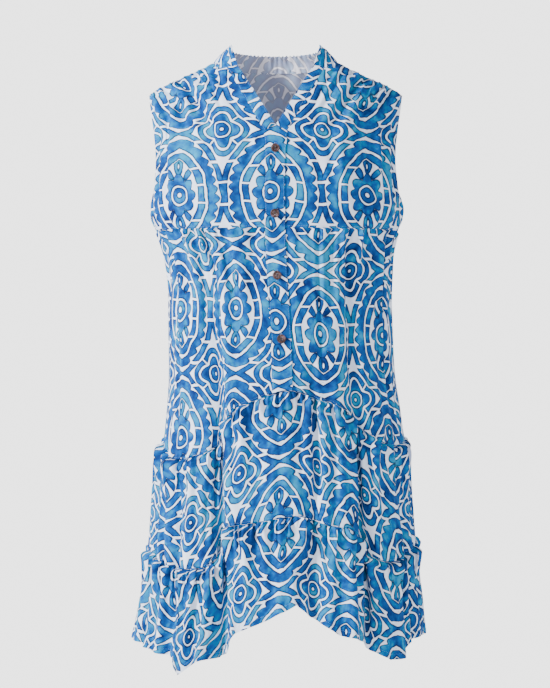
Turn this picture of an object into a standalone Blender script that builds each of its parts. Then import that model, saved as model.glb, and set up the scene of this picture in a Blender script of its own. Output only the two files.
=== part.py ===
"""Sleeveless tiered kaftan dress, in the hollow form it has when worn.

Metres, +Z up, the front facing -Y, the wearer's left at +X. The origin lies between the two neck points
of the shoulder seams. Every piece of cloth is a thin wall. Its outer face is read from one surface, which
is the worn garment without folds plus the depth of the folds. Its inner face lies one wall further in.

A place on that surface is an angle round the garment and a level. The angle is in degrees, 0 at centre
front, 90 at the left side and 180 at centre back. A level above 0 is the share of the way up from the
chest seam to the shoulder line. A level below 0 is in metres under the chest seam.
"""

import math
from typing import NamedTuple

import bmesh
import bpy
import numpy as np
from mathutils import Matrix, Vector

MM = 0.001

# Cloth and seams
WALL = 1.3 * MM            # a turned or doubled edge sets the wall
BAND_WALL = 1.6 * MM       # collar and bands are double cloth
SEAM_GAP = 0.3 * MM        # pieces stand this far apart at a seam
HALF_GAP = SEAM_GAP / 2

# Heights
CHEST = -262 * MM          # seam between yoke and body
UNDERARM = -240 * MM
SHOULDER_TIP = -42 * MM
NECK_POINT = 11.5 * MM     # shoulder seam at the collar
BACK_NECK = 3.0 * MM       # centre back of the neckline

# Widths, from the centre line of the neck
NECK_HALF = 100 * MM       # neck point of the shoulder seam
SHOULDER_HALF = 204.6 * MM
ROUNDNESS = 2.3            # exponent of the horizontal sections
CHEST_SWELL = 2.2          # exponent of the front's rise from chest to shoulder
BACK_SWELL = 3.0
ARMHOLE_FRONT = 47 * MM    # how far the armhole reaches to the front
ARMHOLE_BACK = 50 * MM
ARMHOLE_LOW = 0.7          # exponent that sets the armhole's widest place low

# V neck, bands and placket, from the centre line of the neck
V_POINT = (0.0, -99 * MM)
V_TOP = (60 * MM, 0.0)
NECK_BAND = 21 * MM
SIDE_FRONT = (95 * MM, -2 * MM)
PLACKET_HALF = 16 * MM
BAND_RISE = 8 * MM         # the band's seam runs this much higher at the collar than its edge does
BANDS_APART = 0.4 * MM     # from the centre line to each band's edge at the V
BAND_STEPS = 8
PLACKET_FLARE = 2 * MM     # the placket widens by this towards the neck bands
PLACKET_FLARE_FOOT = -160 * MM
PLACKET_FLARE_RUN = 50 * MM

# Collar
COLLAR_TOP_HALF = 77.5 * MM
COLLAR_TOP_BACK = 62 * MM
COLLAR_TOP = 34 * MM
COLLAR_END_X = 70.5 * MM
COLLAR_END_Y = -44 * MM
COLLAR_BACK_DROP = 4 * MM
COLLAR_LIFT = 0.5 * MM     # the collar stands this far above the neckline
COLLAR_SWELL = 1.5 * MM    # the band bows out a little between its edges
FRONT_STEPS = 9            # columns from the end of the collar to the neck point
BACK_STEPS = 10            # and on to centre back

# Buttons
BUTTON_DIAMETER = 14 * MM
BUTTON_THICKNESS = 2.4 * MM
BUTTON_RIM = 0.6 * MM
BUTTON_SHANK = 0.8 * MM    # the thread holds it this far off the cloth
BUTTON_HOLE = 1.9 * MM
BUTTON_HOLE_PITCH = 4.2 * MM
BUTTON_SIDES = 20
BUTTON_HEIGHTS = (-138 * MM, -240 * MM, -337 * MM, -436 * MM)

SIDE_SEAMS = (90.0, 270.0)  # angles

# Gathers
GATHER_DEPTH = 1.8 * MM    # either way, at its fullest
SHOULDER_GATHER = 1.6 * MM
GATHERED_SHOULDER = (0.02, 0.12)  # shares of the shoulder seam, from the collar, over which the gathers set in
PLAIN_SHOULDER = (0.56, 0.68)     # and over which they end
GATHERED_LEVELS = (0.62, 0.87)    # levels over which they grow towards the shoulder
SHOULDER_SEAM_EASE = 0.03         # and the last levels, over which they flatten into the seam
STEEP_CALM = 2.0           # how fast the gathers die out where the seam runs steeply
DEEP = 21 * MM             # folds deeper than this at the hem have a column on each flank


class Section(NamedTuple):
    """Horizontal section: half its width, its depth before and behind the side seams, and its place."""

    height: float
    half_width: float
    front: float
    back: float
    centre: float


SECTIONS = (
    Section(-0.990, 0.246, 0.202, 0.190, 0.000),
    Section(-0.930, 0.241, 0.196, 0.184, 0.000),
    Section(-0.886, 0.235, 0.190, 0.178, 0.004),
    Section(-0.845, 0.229, 0.184, 0.172, 0.006),
    Section(-0.800, 0.221, 0.178, 0.166, 0.007),
    Section(-0.760, 0.217, 0.172, 0.160, 0.007),
    Section(-0.700, 0.211, 0.166, 0.154, 0.007),
    Section(-0.640, 0.205, 0.160, 0.147, 0.009),
    Section(-0.600, 0.196, 0.155, 0.141, 0.010),
    Section(-0.555, 0.190, 0.150, 0.134, 0.009),
    Section(-0.510, 0.185, 0.146, 0.127, 0.007),
    Section(-0.424, 0.182, 0.140, 0.116, 0.004),
    Section(-0.330, 0.181, 0.136, 0.109, 0.003),
    Section(-0.297, 0.185, 0.134, 0.110, 0.001),
    Section(-0.262, 0.195, 0.132, 0.112, -0.001),
    Section(-0.240, 0.204, 0.132, 0.112, -0.002),
    Section(-0.200, 0.203, 0.132, 0.112, -0.003),
    Section(-0.150, 0.2025, 0.132, 0.112, -0.004),
    Section(-0.110, 0.2025, 0.132, 0.112, -0.004),
    Section(-0.042, 0.2046, 0.132, 0.112, -0.004),
    Section(0.040, 0.2046, 0.132, 0.112, -0.004),
)


class Shoulder(NamedTuple):
    """A point of the shoulder line, seen from the front."""

    out: float
    height: float


SHOULDER_LINE = (
    Shoulder(0.000, 0.034),
    Shoulder(0.050, 0.028),
    Shoulder(0.100, 0.0115),
    Shoulder(0.120, 0.001),
    Shoulder(0.140, -0.0085),
    Shoulder(0.180, -0.0260),
    Shoulder(0.198, -0.036),
    Shoulder(0.2046, -0.042),
)


class Swing(NamedTuple):
    """Sideways place of the placket's middle at a height."""

    height: float
    centre: float


PLACKET_LINE = (
    Swing(-0.520, 0.0065),
    Swing(-0.440, 0.0050),
    Swing(-0.340, -0.0015),
    Swing(-0.240, -0.0052),
    Swing(-0.170, -0.0052),
    Swing(-0.110, -0.0040),
    Swing(-0.099, -0.0040),
)


class Hang(NamedTuple):
    """Heights of the two tier seams and of the hem, at an angle round the garment."""

    angle: float
    seam_2: float
    seam_3: float
    hem: float


HANGS = (
    Hang(-90, -0.602, -0.776, -0.918),
    Hang(-75, -0.612, -0.776, -0.916),
    Hang(-60, -0.626, -0.788, -0.922),
    Hang(-50, -0.624, -0.794, -0.928),
    Hang(-40, -0.616, -0.794, -0.932),
    Hang(-37, -0.613, -0.792, -0.956),
    Hang(-34, -0.610, -0.791, -0.948),
    Hang(-31, -0.606, -0.790, -0.938),
    Hang(-27, -0.562, -0.778, -0.932),
    Hang(-22, -0.545, -0.7265, -0.930),
    Hang(-18, -0.539, -0.725, -0.922),
    Hang(-15, -0.536, -0.723, -0.890),
    Hang(-5, -0.523, -0.717, -0.872),
    Hang(0, -0.516, -0.712, -0.857),
    Hang(4, -0.516, -0.709, -0.845),
    Hang(8, -0.520, -0.712, -0.862),
    Hang(14, -0.531, -0.722, -0.878),
    Hang(20, -0.534, -0.727, -0.893),
    Hang(28, -0.546, -0.731, -0.900),
    Hang(33, -0.563, -0.749, -0.907),
    Hang(38, -0.578, -0.774, -0.922),
    Hang(45, -0.592, -0.784, -0.936),
    Hang(55, -0.602, -0.784, -0.936),
    Hang(60, -0.606, -0.783, -0.914),
    Hang(75, -0.602, -0.770, -0.908),
    Hang(90, -0.600, -0.760, -0.912),
    Hang(110, -0.590, -0.752, -0.930),
    Hang(135, -0.570, -0.742, -0.915),
    Hang(160, -0.553, -0.733, -0.893),
    Hang(180, -0.548, -0.730, -0.884),
    Hang(200, -0.553, -0.733, -0.892),
    Hang(225, -0.570, -0.742, -0.913),
    Hang(250, -0.590, -0.757, -0.928),
    Hang(270, -0.602, -0.776, -0.918),
)
SEAM_2_DRIFT = 0.42        # share of a fold's sideways drift reached at each seam
SEAM_3_DRIFT = 0.70


class Fold(NamedTuple):
    """A valley between two rounded pleats: its angle at the chest and at the hem, the height where it
    starts, its depth at the first tier seam and at the hem, and its half width in degrees."""

    at_chest: float
    at_hem: float
    starts: float
    depth: float
    hem_depth: float
    half_width: float


FOLDS = (
    Fold(-84, -82, -0.17, 0.004, 0.012, 3.0),
    Fold(-75, -68, -0.17, 0.005, 0.018, 3.5),
    Fold(-66, -57, -0.17, 0.005, 0.010, 3.0),
    Fold(-57, -46, -0.16, 0.005, 0.020, 3.5),
    Fold(-47, -31, -0.28, 0.003, 0.010, 3.0),
    Fold(-37, -20, -0.27, 0.017, 0.036, 4.5),
    Fold(-24, -11, -0.262, 0.003, 0.008, 3.0),
    Fold(-14, -5, -0.262, 0.002, 0.010, 3.0),
    Fold(14, 9, -0.42, 0.008, 0.018, 3.5),
    Fold(20, 19, -0.262, 0.004, 0.007, 2.6),
    Fold(33, 36, -0.262, 0.015, 0.034, 4.5),
    Fold(45, 47, -0.30, 0.003, 0.010, 3.0),
    Fold(56, 57, -0.17, 0.005, 0.012, 3.0),
    Fold(65, 66, -0.17, 0.005, 0.020, 3.5),
    Fold(74, 76, -0.17, 0.005, 0.010, 3.0),
    Fold(84, 85, -0.17, 0.004, 0.014, 3.0),
    Fold(97, 97, -0.20, 0.004, 0.012, 3.5),
    Fold(108, 109, -0.16, 0.006, 0.022, 4.0),
    Fold(120, 122, -0.30, 0.003, 0.012, 3.5),
    Fold(133, 135, -0.12, 0.007, 0.028, 4.5),
    Fold(147, 148, -0.30, 0.003, 0.012, 3.5),
    Fold(160, 161, -0.15, 0.006, 0.024, 4.5),
    Fold(173, 173, -0.30, 0.003, 0.010, 3.5),
    Fold(187, 186, -0.18, 0.005, 0.022, 4.5),
    Fold(200, 199, -0.30, 0.003, 0.012, 3.5),
    Fold(213, 212, -0.12, 0.007, 0.028, 4.5),
    Fold(227, 226, -0.30, 0.003, 0.014, 3.5),
    Fold(240, 239, -0.15, 0.006, 0.022, 4.0),
    Fold(252, 252, -0.30, 0.003, 0.010, 3.5),
    Fold(263, 265, -0.18, 0.004, 0.014, 3.5),
)
FOLD_EASE = 70 * MM        # a fold reaches its depth this far under its start
WAIST_SHARE = 0.55         # of the depth at the first tier seam, reached once it has eased in
FOLD_AT_SEAM = -580 * MM   # heights at which the folds have the depths in their table
FOLD_AT_HEM = -930 * MM
DEEPEST = 1.1              # a fold's depth under the hem's mean height stops at this share
FOLD_POWER = 1.7           # exponent of a valley's section


class Drape(NamedTuple):
    """A soft fold that falls from the gathered shoulder seam: its angle, depth and half width."""

    angle: float
    depth: float
    half_width: float


DRAPES = (
    Drape(-58, 0.006, 4.0),
    Drape(-44, 0.003, 4.0),
    Drape(44, 0.003, 4.0),
    Drape(57, 0.006, 4.0),
)
DRAPE_FOOT = (0.15, 0.40)  # levels over which a drape grows
DRAPE_TOP = (0.73, 0.93)   # and over which it flattens into the shoulder seam

# Rows of each piece, as shares of its height
YOKE_OUTER_ROWS = (0.0, 0.085, 0.25, 0.42, 0.57, 0.70, 0.81, 0.90, 0.96, 1.0)
YOKE_CORNER_ROWS = (4, 7, 8, 9)  # rows at the foot and top of the band, the side front and the neck point
BODY_ROWS = (0.0, 0.10, 0.24, 0.40, 0.58, 0.78, 1.0)
TIER_ROWS = (0.0, 0.035, 0.13, 0.36, 0.68, 1.0)
GATHERS_TO_SEAM = (0.0, 0.8, 1.0, 0.7, 0.45, 0.0)
GATHERS_TO_HEM = (0.0, 0.8, 1.0, 0.7, 0.5, 0.4)
COLLAR_ROWS = 4
PLACKET_ROWS = 14
OVER_SHARE = 0.97          # the upper placket is this much of the width of the one under it
OVER_DROP = 3 * MM         # and starts this far below the V

CLOTH = ("blue_print_cloth", (0.30, 0.47, 0.74, 1.0), 0.75)
BUTTON = ("shell_button", (0.23, 0.17, 0.16, 1.0), 0.28)


# Directions of the surface are taken between places this far apart, in degrees and in level
NORMAL_TURN = 0.5
NORMAL_RISE = 0.004
NORMAL_TOP = 0.985         # above this level they no longer change
NORMAL_TILT = 0.3          # and over the first levels above the chest seam they start to lean upwards


# ---------------------------------------------------------------- the surface


def column_of(rows, name):
    """One named column of a table, as an array."""
    return np.array([getattr(row, name) for row in rows], dtype=float)


def smooth_read(xs, ys, x):
    """Read the smooth curve through the points (xs, ys) at x."""
    x = np.clip(np.asarray(x, dtype=float), xs[0], xs[-1])
    slopes = np.gradient(ys, xs)
    i = np.clip(np.searchsorted(xs, x) - 1, 0, len(xs) - 2)
    span = xs[i + 1] - xs[i]
    t = (x - xs[i]) / span
    rise = ys[i] * (2 * t**3 - 3 * t**2 + 1) + ys[i + 1] * (3 * t**2 - 2 * t**3)
    return rise + span * (slopes[i] * (t**3 - 2 * t**2 + t) + slopes[i + 1] * (t**3 - t**2))


def smooth_step(t):
    """0 below 0, 1 above 1, and eased between."""
    t = np.clip(t, 0.0, 1.0)
    return t * t * (3 - 2 * t)


def ramp(value, limits):
    """0 below two limits, 1 above them, and eased between."""
    return smooth_step((value - limits[0]) / (limits[1] - limits[0]))


def section_read(name, height):
    """A size of the horizontal section at a height."""
    return smooth_read(column_of(SECTIONS, "height"), column_of(SECTIONS, name), height)


def shoulder_height(out):
    """Height of the shoulder line at a distance from the neck's centre line."""
    return np.interp(np.abs(out), column_of(SHOULDER_LINE, "out"), column_of(SHOULDER_LINE, "height"))


def signed_power(value, power):
    """Power of a number that keeps its sign."""
    return np.sign(value) * np.abs(value) ** power


def shoulder_reach(angle):
    """Distance from the centre line at which an angle meets the shoulder line."""
    return SHOULDER_HALF * np.abs(signed_power(np.sin(np.radians(angle)), 2 / ROUNDNESS))


def height_at(angle, level):
    """Height of a place on the garment."""
    level = np.asarray(level, dtype=float)
    top = shoulder_height(shoulder_reach(angle))
    return np.where(level > 0, CHEST + level * (top - CHEST), CHEST + level)


def shell_point(angle, level):
    """Point of the garment without folds."""
    angle, level = np.broadcast_arrays(np.asarray(angle, dtype=float), np.asarray(level, dtype=float))
    height = height_at(angle, level)
    across = signed_power(np.sin(np.radians(angle)), 2 / ROUNDNESS)
    along = signed_power(np.cos(np.radians(angle)), 2 / ROUNDNESS)
    is_front = along > 0
    depth = np.where(is_front, section_read("front", height), section_read("back", height))
    swell = np.where(is_front, CHEST_SWELL, BACK_SWELL)
    up = np.clip(level, 0.0, 1.0)
    depth = depth * (1 - up**swell) ** (1 / swell)
    x = section_read("centre", height) + section_read("half_width", height) * across
    return np.stack([x, -depth * along, height], axis=-1)


def shell_normal(angle, level):
    """Outward direction of the garment without folds. Under the chest seam it is level."""
    angle, level = np.broadcast_arrays(np.asarray(angle, dtype=float), np.asarray(level, dtype=float))
    up = np.minimum(level, NORMAL_TOP)
    around = shell_point(angle + NORMAL_TURN, up) - shell_point(angle - NORMAL_TURN, up)
    upward = shell_point(angle, up + NORMAL_RISE) - shell_point(angle, up - NORMAL_RISE)
    normal = np.cross(around, upward)
    normal[..., 2] *= smooth_step(level / NORMAL_TILT)
    return normal / np.linalg.norm(normal, axis=-1, keepdims=True)


def drift_at(height):
    """Share of the folds' sideways drift at a height."""
    return np.clip((CHEST - height) / (CHEST - column_of(HANGS, "hem").min()), 0.0, 1.0)


def turned_apart(angle, other):
    """Difference of two angles, between -180 and 180."""
    return (np.asarray(angle) - other + 180.0) % 360.0 - 180.0


def fold_depth(angle, level):
    """How far the folds draw the cloth in at a place."""
    height = height_at(angle, level)
    drift = drift_at(height)
    depth = np.zeros(np.broadcast(angle, level).shape)
    for fold in FOLDS:
        middle = fold.at_chest + (fold.at_hem - fold.at_chest) * drift
        beside = turned_apart(angle, middle) / fold.half_width
        eased = smooth_step((fold.starts - height) / FOLD_EASE)
        to_seam = smooth_step((fold.starts - height) / (fold.starts - FOLD_AT_SEAM))
        to_hem = np.clip((FOLD_AT_SEAM - height) / (FOLD_AT_SEAM - FOLD_AT_HEM), 0.0, DEEPEST)
        deep = fold.depth * eased * (WAIST_SHARE + (1 - WAIST_SHARE) * to_seam)
        deep = deep + (fold.hem_depth - fold.depth) * to_hem
        depth += deep * np.exp(-np.abs(beside) ** FOLD_POWER)
    for drape in DRAPES:
        beside = turned_apart(angle, drape.angle) / drape.half_width
        shown = ramp(level, DRAPE_FOOT) * (1 - ramp(level, DRAPE_TOP))
        depth += drape.depth * shown * np.exp(-np.abs(beside) ** FOLD_POWER)
    return depth


def cloth_point(angle, level, proud=0.0):
    """Point of the folded cloth, or of what lies that far proud of it."""
    shell = shell_point(angle, level)
    away = proud - fold_depth(angle, level)
    return shell + away[..., None] * shell_normal(angle, level)


def angle_of(out, height):
    """Angle on the front at a distance from the centre line and a height."""
    share = np.clip(np.asarray(out) / section_read("half_width", height), -1.0, 1.0)
    return np.degrees(np.arcsin(signed_power(share, ROUNDNESS / 2)))


def level_at(angle, height):
    """Level of a place, from its angle and its height."""
    height = np.asarray(height, dtype=float)
    top = shoulder_height(shoulder_reach(angle))
    return np.where(height > CHEST, np.minimum((height - CHEST) / (top - CHEST), 1.0), height - CHEST)


def hang_height(name, angle):
    """Height of a tier seam or of the hem at an angle."""
    return np.interp(np.asarray(angle), column_of(HANGS, "angle"), column_of(HANGS, name), period=360.0)


def placket_out(share, height):
    """Distance from the section's centre to a place across the placket, -1 at its right edge to 1."""
    centre = smooth_read(column_of(PLACKET_LINE, "height"), column_of(PLACKET_LINE, "centre"), height)
    flared = smooth_step((np.asarray(height) - PLACKET_FLARE_FOOT) / PLACKET_FLARE_RUN)
    half = PLACKET_HALF + PLACKET_FLARE * flared
    return centre + share * half - section_read("centre", height)


# ---------------------------------------------------------------- columns round the garment


def placket_angle(side, height):
    """Angle of the placket's edge at a height. The side is -1 or 1."""
    return angle_of(placket_out(side, height), height)


def between(start, end, share):
    """The pair of numbers that share of the way from one pair to another."""
    return tuple(first + (second - first) * share for first, second in zip(start, end))


def fold_columns():
    """Angles at the chest and at the hem of the columns.

    They lie on each valley and each ridge, and beside deep valleys. A seam that lies between two valleys
    takes the place of the ridge.
    """
    edges = [float(placket_angle(side, hang_height("seam_2", 0.0))) for side in (-1, 1)]
    seams = edges + list(SIDE_SEAMS)
    columns = []
    for index, fold in enumerate(FOLDS):
        after = FOLDS[(index + 1) % len(FOLDS)]
        turn = 360.0 if after.at_chest < fold.at_chest else 0.0
        start = (fold.at_chest, fold.at_hem)
        end = (after.at_chest + turn, after.at_hem + turn)
        ridges = [(seam, seam) for seam in seams if start[0] < seam < end[0]]
        ridges = ridges or [between(start, end, 0.5)]
        columns.extend([start] + ridges)
        if fold.hem_depth > DEEP:
            columns.append(between(start, ridges[0], 0.5))
        if after.hem_depth > DEEP:
            columns.append(between(ridges[-1], end, 0.5))
    wrapped = [(chest % 360.0, hem + (chest % 360.0 - chest)) for chest, hem in columns]
    return sorted(wrapped)


COLUMNS = fold_columns()


def columns_at(drift):
    """Angles of all columns where that share of the drift is reached."""
    return np.array([chest + (hem - chest) * drift for chest, hem in COLUMNS])


def column_index(angle):
    """The column whose place at the chest is nearest to an angle."""
    at_chest = columns_at(0.0)
    return int(np.argmin(np.abs(turned_apart(at_chest, angle))))


def edge_column(side):
    """The column on the placket's edge. The side is -1 or 1."""
    return column_index(float(placket_angle(side, hang_height("seam_2", 0.0))))


# ---------------------------------------------------------------- walls


def unit(vectors):
    """Vectors scaled to length 1."""
    return vectors / np.maximum(np.linalg.norm(vectors, axis=-1, keepdims=True), 1e-12)


def flat_normals(outer, closed):
    """Level outward normals of rings or strips of points, and how sharply each corner is mitred."""
    before = np.roll(outer, 1, axis=1)
    after = np.roll(outer, -1, axis=1)
    if not closed:
        before[:, 0] = 2 * outer[:, 0] - outer[:, 1]
        after[:, -1] = 2 * outer[:, -1] - outer[:, -2]
    first = unit((outer - before) * (1, 1, 0))
    second = unit((after - outer) * (1, 1, 0))
    along = unit(first + second)
    normal = np.stack([along[..., 1], -along[..., 0], np.zeros(along.shape[:-1])], axis=-1)
    return normal, np.maximum(np.sum(along * first, axis=-1), 0.6)


def flat_inner(outer, wall, closed):
    """Inner face of rings: each row is offset level, mitred at its corners."""
    normal, mitre = flat_normals(outer, closed)
    return outer - normal * (wall / mitre)[..., None]


def curved_inner(outer, wall):
    """Inner face of a patch that also curves over the shoulder, offset along the patch's own normals.

    Where the patch ends in a side or shoulder seam, halfway from front to back, the offset points neither
    forwards nor backwards, so that the two pieces at the seam meet face to face.
    """
    along = np.gradient(outer, axis=1)
    up = np.gradient(outer, axis=0)
    normal = np.cross(along, up)
    on_seam = np.abs(outer[..., 1]) < SEAM_GAP
    normal[..., 1] = np.where(on_seam, 0.0, normal[..., 1])
    return outer - wall * unit(normal)


def draw_in(edge, beside, gap):
    """Move an edge's points towards the ones beside it, so that the edge's line moves square by a gap."""
    along = unit(np.gradient(edge, axis=0))
    across = unit(beside - edge)
    slant = np.linalg.norm(np.cross(across, along), axis=-1, keepdims=True)
    return edge + gap / np.maximum(slant, 0.2) * across


def shift_edges(outer, inner, columns=(0.0, 0.0), rows=(0.0, 0.0)):
    """Draw the first and last rows and columns in by these distances, for the gaps at the seams."""
    for grid in (outer, inner):
        first, last = draw_in(grid[0], grid[1], rows[0]), draw_in(grid[-1], grid[-2], rows[1])
        grid[0], grid[-1] = first, last
        first = draw_in(grid[:, 0], grid[:, 1], columns[0])
        last = draw_in(grid[:, -1], grid[:, -2], columns[1])
        grid[:, 0], grid[:, -1] = first, last


def wall_faces(rows, columns, closed):
    """Triangles of a wall between two grids of points, the outer grid first.

    Opposite ends are split along the same diagonal, so that two pieces stay apart where a seam twists.
    """
    inner = rows * columns
    faces = []
    last = columns if closed else columns - 1
    for row in range(rows - 1):
        for column in range(last):
            a = row * columns + column
            b = row * columns + (column + 1) % columns
            c, d = b + columns, a + columns
            halves = ((a, b, c), (a, c, d)) if column % 2 else ((a, b, d), (b, c, d))
            for p, q, r in halves:
                faces.append((p, q, r))
                faces.append((r + inner, q + inner, p + inner))
    for column in range(last):
        a, b = column, (column + 1) % columns
        faces.extend(((b, a, a + inner), (b, a + inner, b + inner)))
        a, b = a + (rows - 1) * columns, b + (rows - 1) * columns
        faces.extend(((a, b, a + inner), (b, b + inner, a + inner)))
    if not closed:
        for row in range(rows - 1):
            a, b = row * columns, (row + 1) * columns
            faces.extend(((a, b, b + inner), (a, b + inner, a + inner)))
            a, b = a + columns - 1, b + columns - 1
            faces.extend(((b, a, b + inner), (a, a + inner, b + inner)))
    return faces


def add_wall(name, outer, inner, closed=False):
    """Make a node from the two grids of a wall. Rows run upwards and columns round to the left."""
    rows, columns = outer.shape[:2]
    points = np.concatenate([outer.reshape(-1, 3), inner.reshape(-1, 3)])
    mesh = bpy.data.meshes.new(name)
    mesh.from_pydata([tuple(p) for p in points], [], wall_faces(rows, columns, closed))
    mesh.update()
    return add_node(name, mesh, CLOTH)


def add_node(name, mesh, finish):
    """Link a mesh to the scene as a node with its own material."""
    label, colour, roughness = finish
    material = bpy.data.materials.new(f"{label}_{name}")
    material.use_nodes = True
    shader = material.node_tree.nodes["Principled BSDF"]
    shader.inputs["Base Color"].default_value = colour
    shader.inputs["Roughness"].default_value = roughness
    shader.inputs["Metallic"].default_value = 0.0
    mesh.materials.append(material)
    mesh.shade_smooth()
    node = bpy.data.objects.new(name, mesh)
    bpy.context.scene.collection.objects.link(node)
    return node


# ---------------------------------------------------------------- body below the chest seam


def body_ring():
    """Outer and inner grids of the body with every column, from its first tier seam to the chest seam."""
    rows = []
    for share in reversed(BODY_ROWS):
        seam = hang_height("seam_2", columns_at(SEAM_2_DRIFT))
        height = CHEST + (seam - CHEST) * share
        angle = columns_at(0.0) + (columns_at(SEAM_2_DRIFT) - columns_at(0.0)) * share
        for side in (-1, 1):
            at = edge_column(side)
            angle[at] = placket_angle(side, height[at]) % 360.0
        rows.append(cloth_point(angle, height - CHEST))
    outer = np.stack(rows)
    return outer, flat_inner(outer, WALL, closed=True)


def take_columns(grid, first, last):
    """Copy the columns from first to last, past the end of the ring where last is smaller."""
    count = grid.shape[1]
    span = (last - first) % count
    return grid[:, [(first + step) % count for step in range(span + 1)]].copy()


def tier_ring(top, bottom, drifts, gathers):
    """Outer and inner grids of a gathered tier, from its lower edge up to its seam.

    Between each two columns of the body it has one more. They stand out and lie in by turns, as gathers.
    """
    start, end = columns_at(drifts[0]), columns_at(drifts[1])
    shares = np.array(TIER_ROWS[::-1])[:, None]
    angle = start + (end - start) * shares
    height = hang_height(top, start) * (1 - shares) + hang_height(bottom, end) * shares
    after = np.roll(angle, -1, axis=1)
    after[:, -1] += 360.0
    ring = cloth_point(angle, height - CHEST)
    chord = (ring + np.roll(ring, -1, axis=1)) / 2
    curve = cloth_point((angle + after) / 2, (height + np.roll(height, -1, axis=1)) / 2 - CHEST)
    gather = np.array(gathers[::-1])[:, None, None]
    outer = np.empty((len(ring), 2 * ring.shape[1], 3))
    outer[:, 0::2] = ring
    outer[:, 1::2] = chord + (curve - chord) * np.minimum(gather * 2, 1.0)
    turns = np.where(np.arange(outer.shape[1]) % 2 == 0, -1.0, 1.0)[:, None]
    reach = np.roll(outer[-1], -1, axis=0) - np.roll(outer[-1], 1, axis=0)
    steep = np.abs(reach[:, 2]) / np.linalg.norm(reach[:, :2], axis=-1)
    calm = 1 / (1 + (STEEP_CALM * steep[:, None]) ** 2)
    outer = outer + GATHER_DEPTH * gather * turns * calm * flat_normals(outer, closed=True)[0]
    return outer, flat_inner(outer, WALL, closed=True)


def make_tier(name, top, bottom, drifts, gathers):
    """A gathered tier, cut in front and back with seams at the sides."""
    outer, inner = tier_ring(top, bottom, drifts, gathers)
    left, right = 2 * column_index(90.0), 2 * column_index(270.0)
    last_gap = HALF_GAP if bottom != "hem" else 0.0
    for side, first, last in (("front", right, left), ("back", left, right)):
        panel = (take_columns(outer, first, last), take_columns(inner, first, last))
        shift_edges(*panel, columns=(HALF_GAP, HALF_GAP), rows=(last_gap, HALF_GAP))
        add_wall(f"{name}_{side}", *panel)


def make_front_bodies(outer, inner):
    """The two halves of the front between the chest seam and the first tier."""
    spans = (
        ("front_body_left", edge_column(1), column_index(90.0)),
        ("front_body_right", column_index(270.0), edge_column(-1)),
    )
    for name, first, last in spans:
        panel = (take_columns(outer, first, last), take_columns(inner, first, last))
        shift_edges(*panel, columns=(HALF_GAP, HALF_GAP), rows=(HALF_GAP, HALF_GAP))
        add_wall(name, *panel)


# ---------------------------------------------------------------- yokes and back


def armhole_angle(level, reach, swell, depth_name):
    """Angle from the side at which the armhole's edge lies on the front or back, at a level."""
    level = np.asarray(level, dtype=float)
    height = height_at(90.0, level)
    share = np.clip((height - UNDERARM) / (SHOULDER_TIP - UNDERARM), 0.0, 1.0)
    edge = reach * np.sin(math.pi * share**ARMHOLE_LOW)
    depth = section_read(depth_name, height) * np.maximum(1 - level**swell, 1e-9) ** (1 / swell)
    along = np.clip(edge / depth, 0.0, 0.9)
    return 90.0 - np.degrees(np.arccos(along ** (ROUNDNESS / 2)))


def v_seam_points():
    """Foot and top of the seam between a neck band and its yoke."""
    run = Vector((V_TOP[0] - V_POINT[0], V_TOP[1] - V_POINT[1])).normalized()
    off = (run.y * NECK_BAND, -run.x * NECK_BAND)
    foot = (V_POINT[0] + off[0], V_POINT[1] + off[1])
    top = (V_TOP[0] + off[0], V_TOP[1] + off[1] + BAND_RISE)
    return foot, top


def yoke_inner_edge(side):
    """Rows of a yoke's inner edge, from the chest seam up the placket and band to the neck point."""
    foot, top = v_seam_points()
    corners = (foot, top, SIDE_FRONT, (NECK_HALF, NECK_POINT))
    rows = np.arange(len(YOKE_OUTER_ROWS))
    height = np.interp(rows, (0,) + YOKE_CORNER_ROWS, [CHEST] + [corner[1] for corner in corners])
    out = side * np.interp(rows, YOKE_CORNER_ROWS, [corner[0] for corner in corners])
    below = rows < YOKE_CORNER_ROWS[0]
    out[below] = placket_out(side, height[below])
    angle = angle_of(out, height)
    return angle, level_at(angle, height)


def column_shares(first, last):
    """Places of the columns between two of them at the chest seam, as shares of the way."""
    at_chest = columns_at(0.0)
    count = len(at_chest)
    span = (last - first) % count
    angles = np.array([at_chest[(first + step) % count] for step in range(span + 1)])
    angles = np.degrees(np.unwrap(np.radians(angles)))
    return (angles - angles[0]) / (angles[-1] - angles[0])


def make_yoke(name, side, body):
    """A front yoke, from the chest seam to the shoulder seam, gathered where it meets that seam."""
    outer_ring, inner_ring = body
    if side > 0:
        first, last = edge_column(1), column_index(90.0)
    else:
        first, last = column_index(270.0), edge_column(-1)
    shares = column_shares(first, last)
    inner_angle, inner_level = yoke_inner_edge(side)
    outer_level = np.array(YOKE_OUTER_ROWS)
    outer_angle = side * (90.0 - armhole_angle(outer_level, ARMHOLE_FRONT, CHEST_SWELL, "front"))
    start, end = ((inner_angle, inner_level), (outer_angle, outer_level))
    if side < 0:
        start, end = end, start
    rows = []
    for row in range(len(outer_level)):
        angle = start[0][row] + (end[0][row] - start[0][row]) * shares
        level = start[1][row] + (end[1][row] - start[1][row]) * shares
        gather = shoulder_gather(shares if side > 0 else 1 - shares, level)
        rows.append(cloth_point(angle, level) + gather[:, None] * shell_normal(angle, level))
    outer = np.stack(rows)
    inner = curved_inner(outer, WALL)
    outer[0] = take_columns(outer_ring, first, last)[-1]
    inner[0] = take_columns(inner_ring, first, last)[-1]
    shift_edges(outer, inner, columns=(HALF_GAP, HALF_GAP), rows=(HALF_GAP, HALF_GAP))
    add_wall(name, outer, inner)


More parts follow.
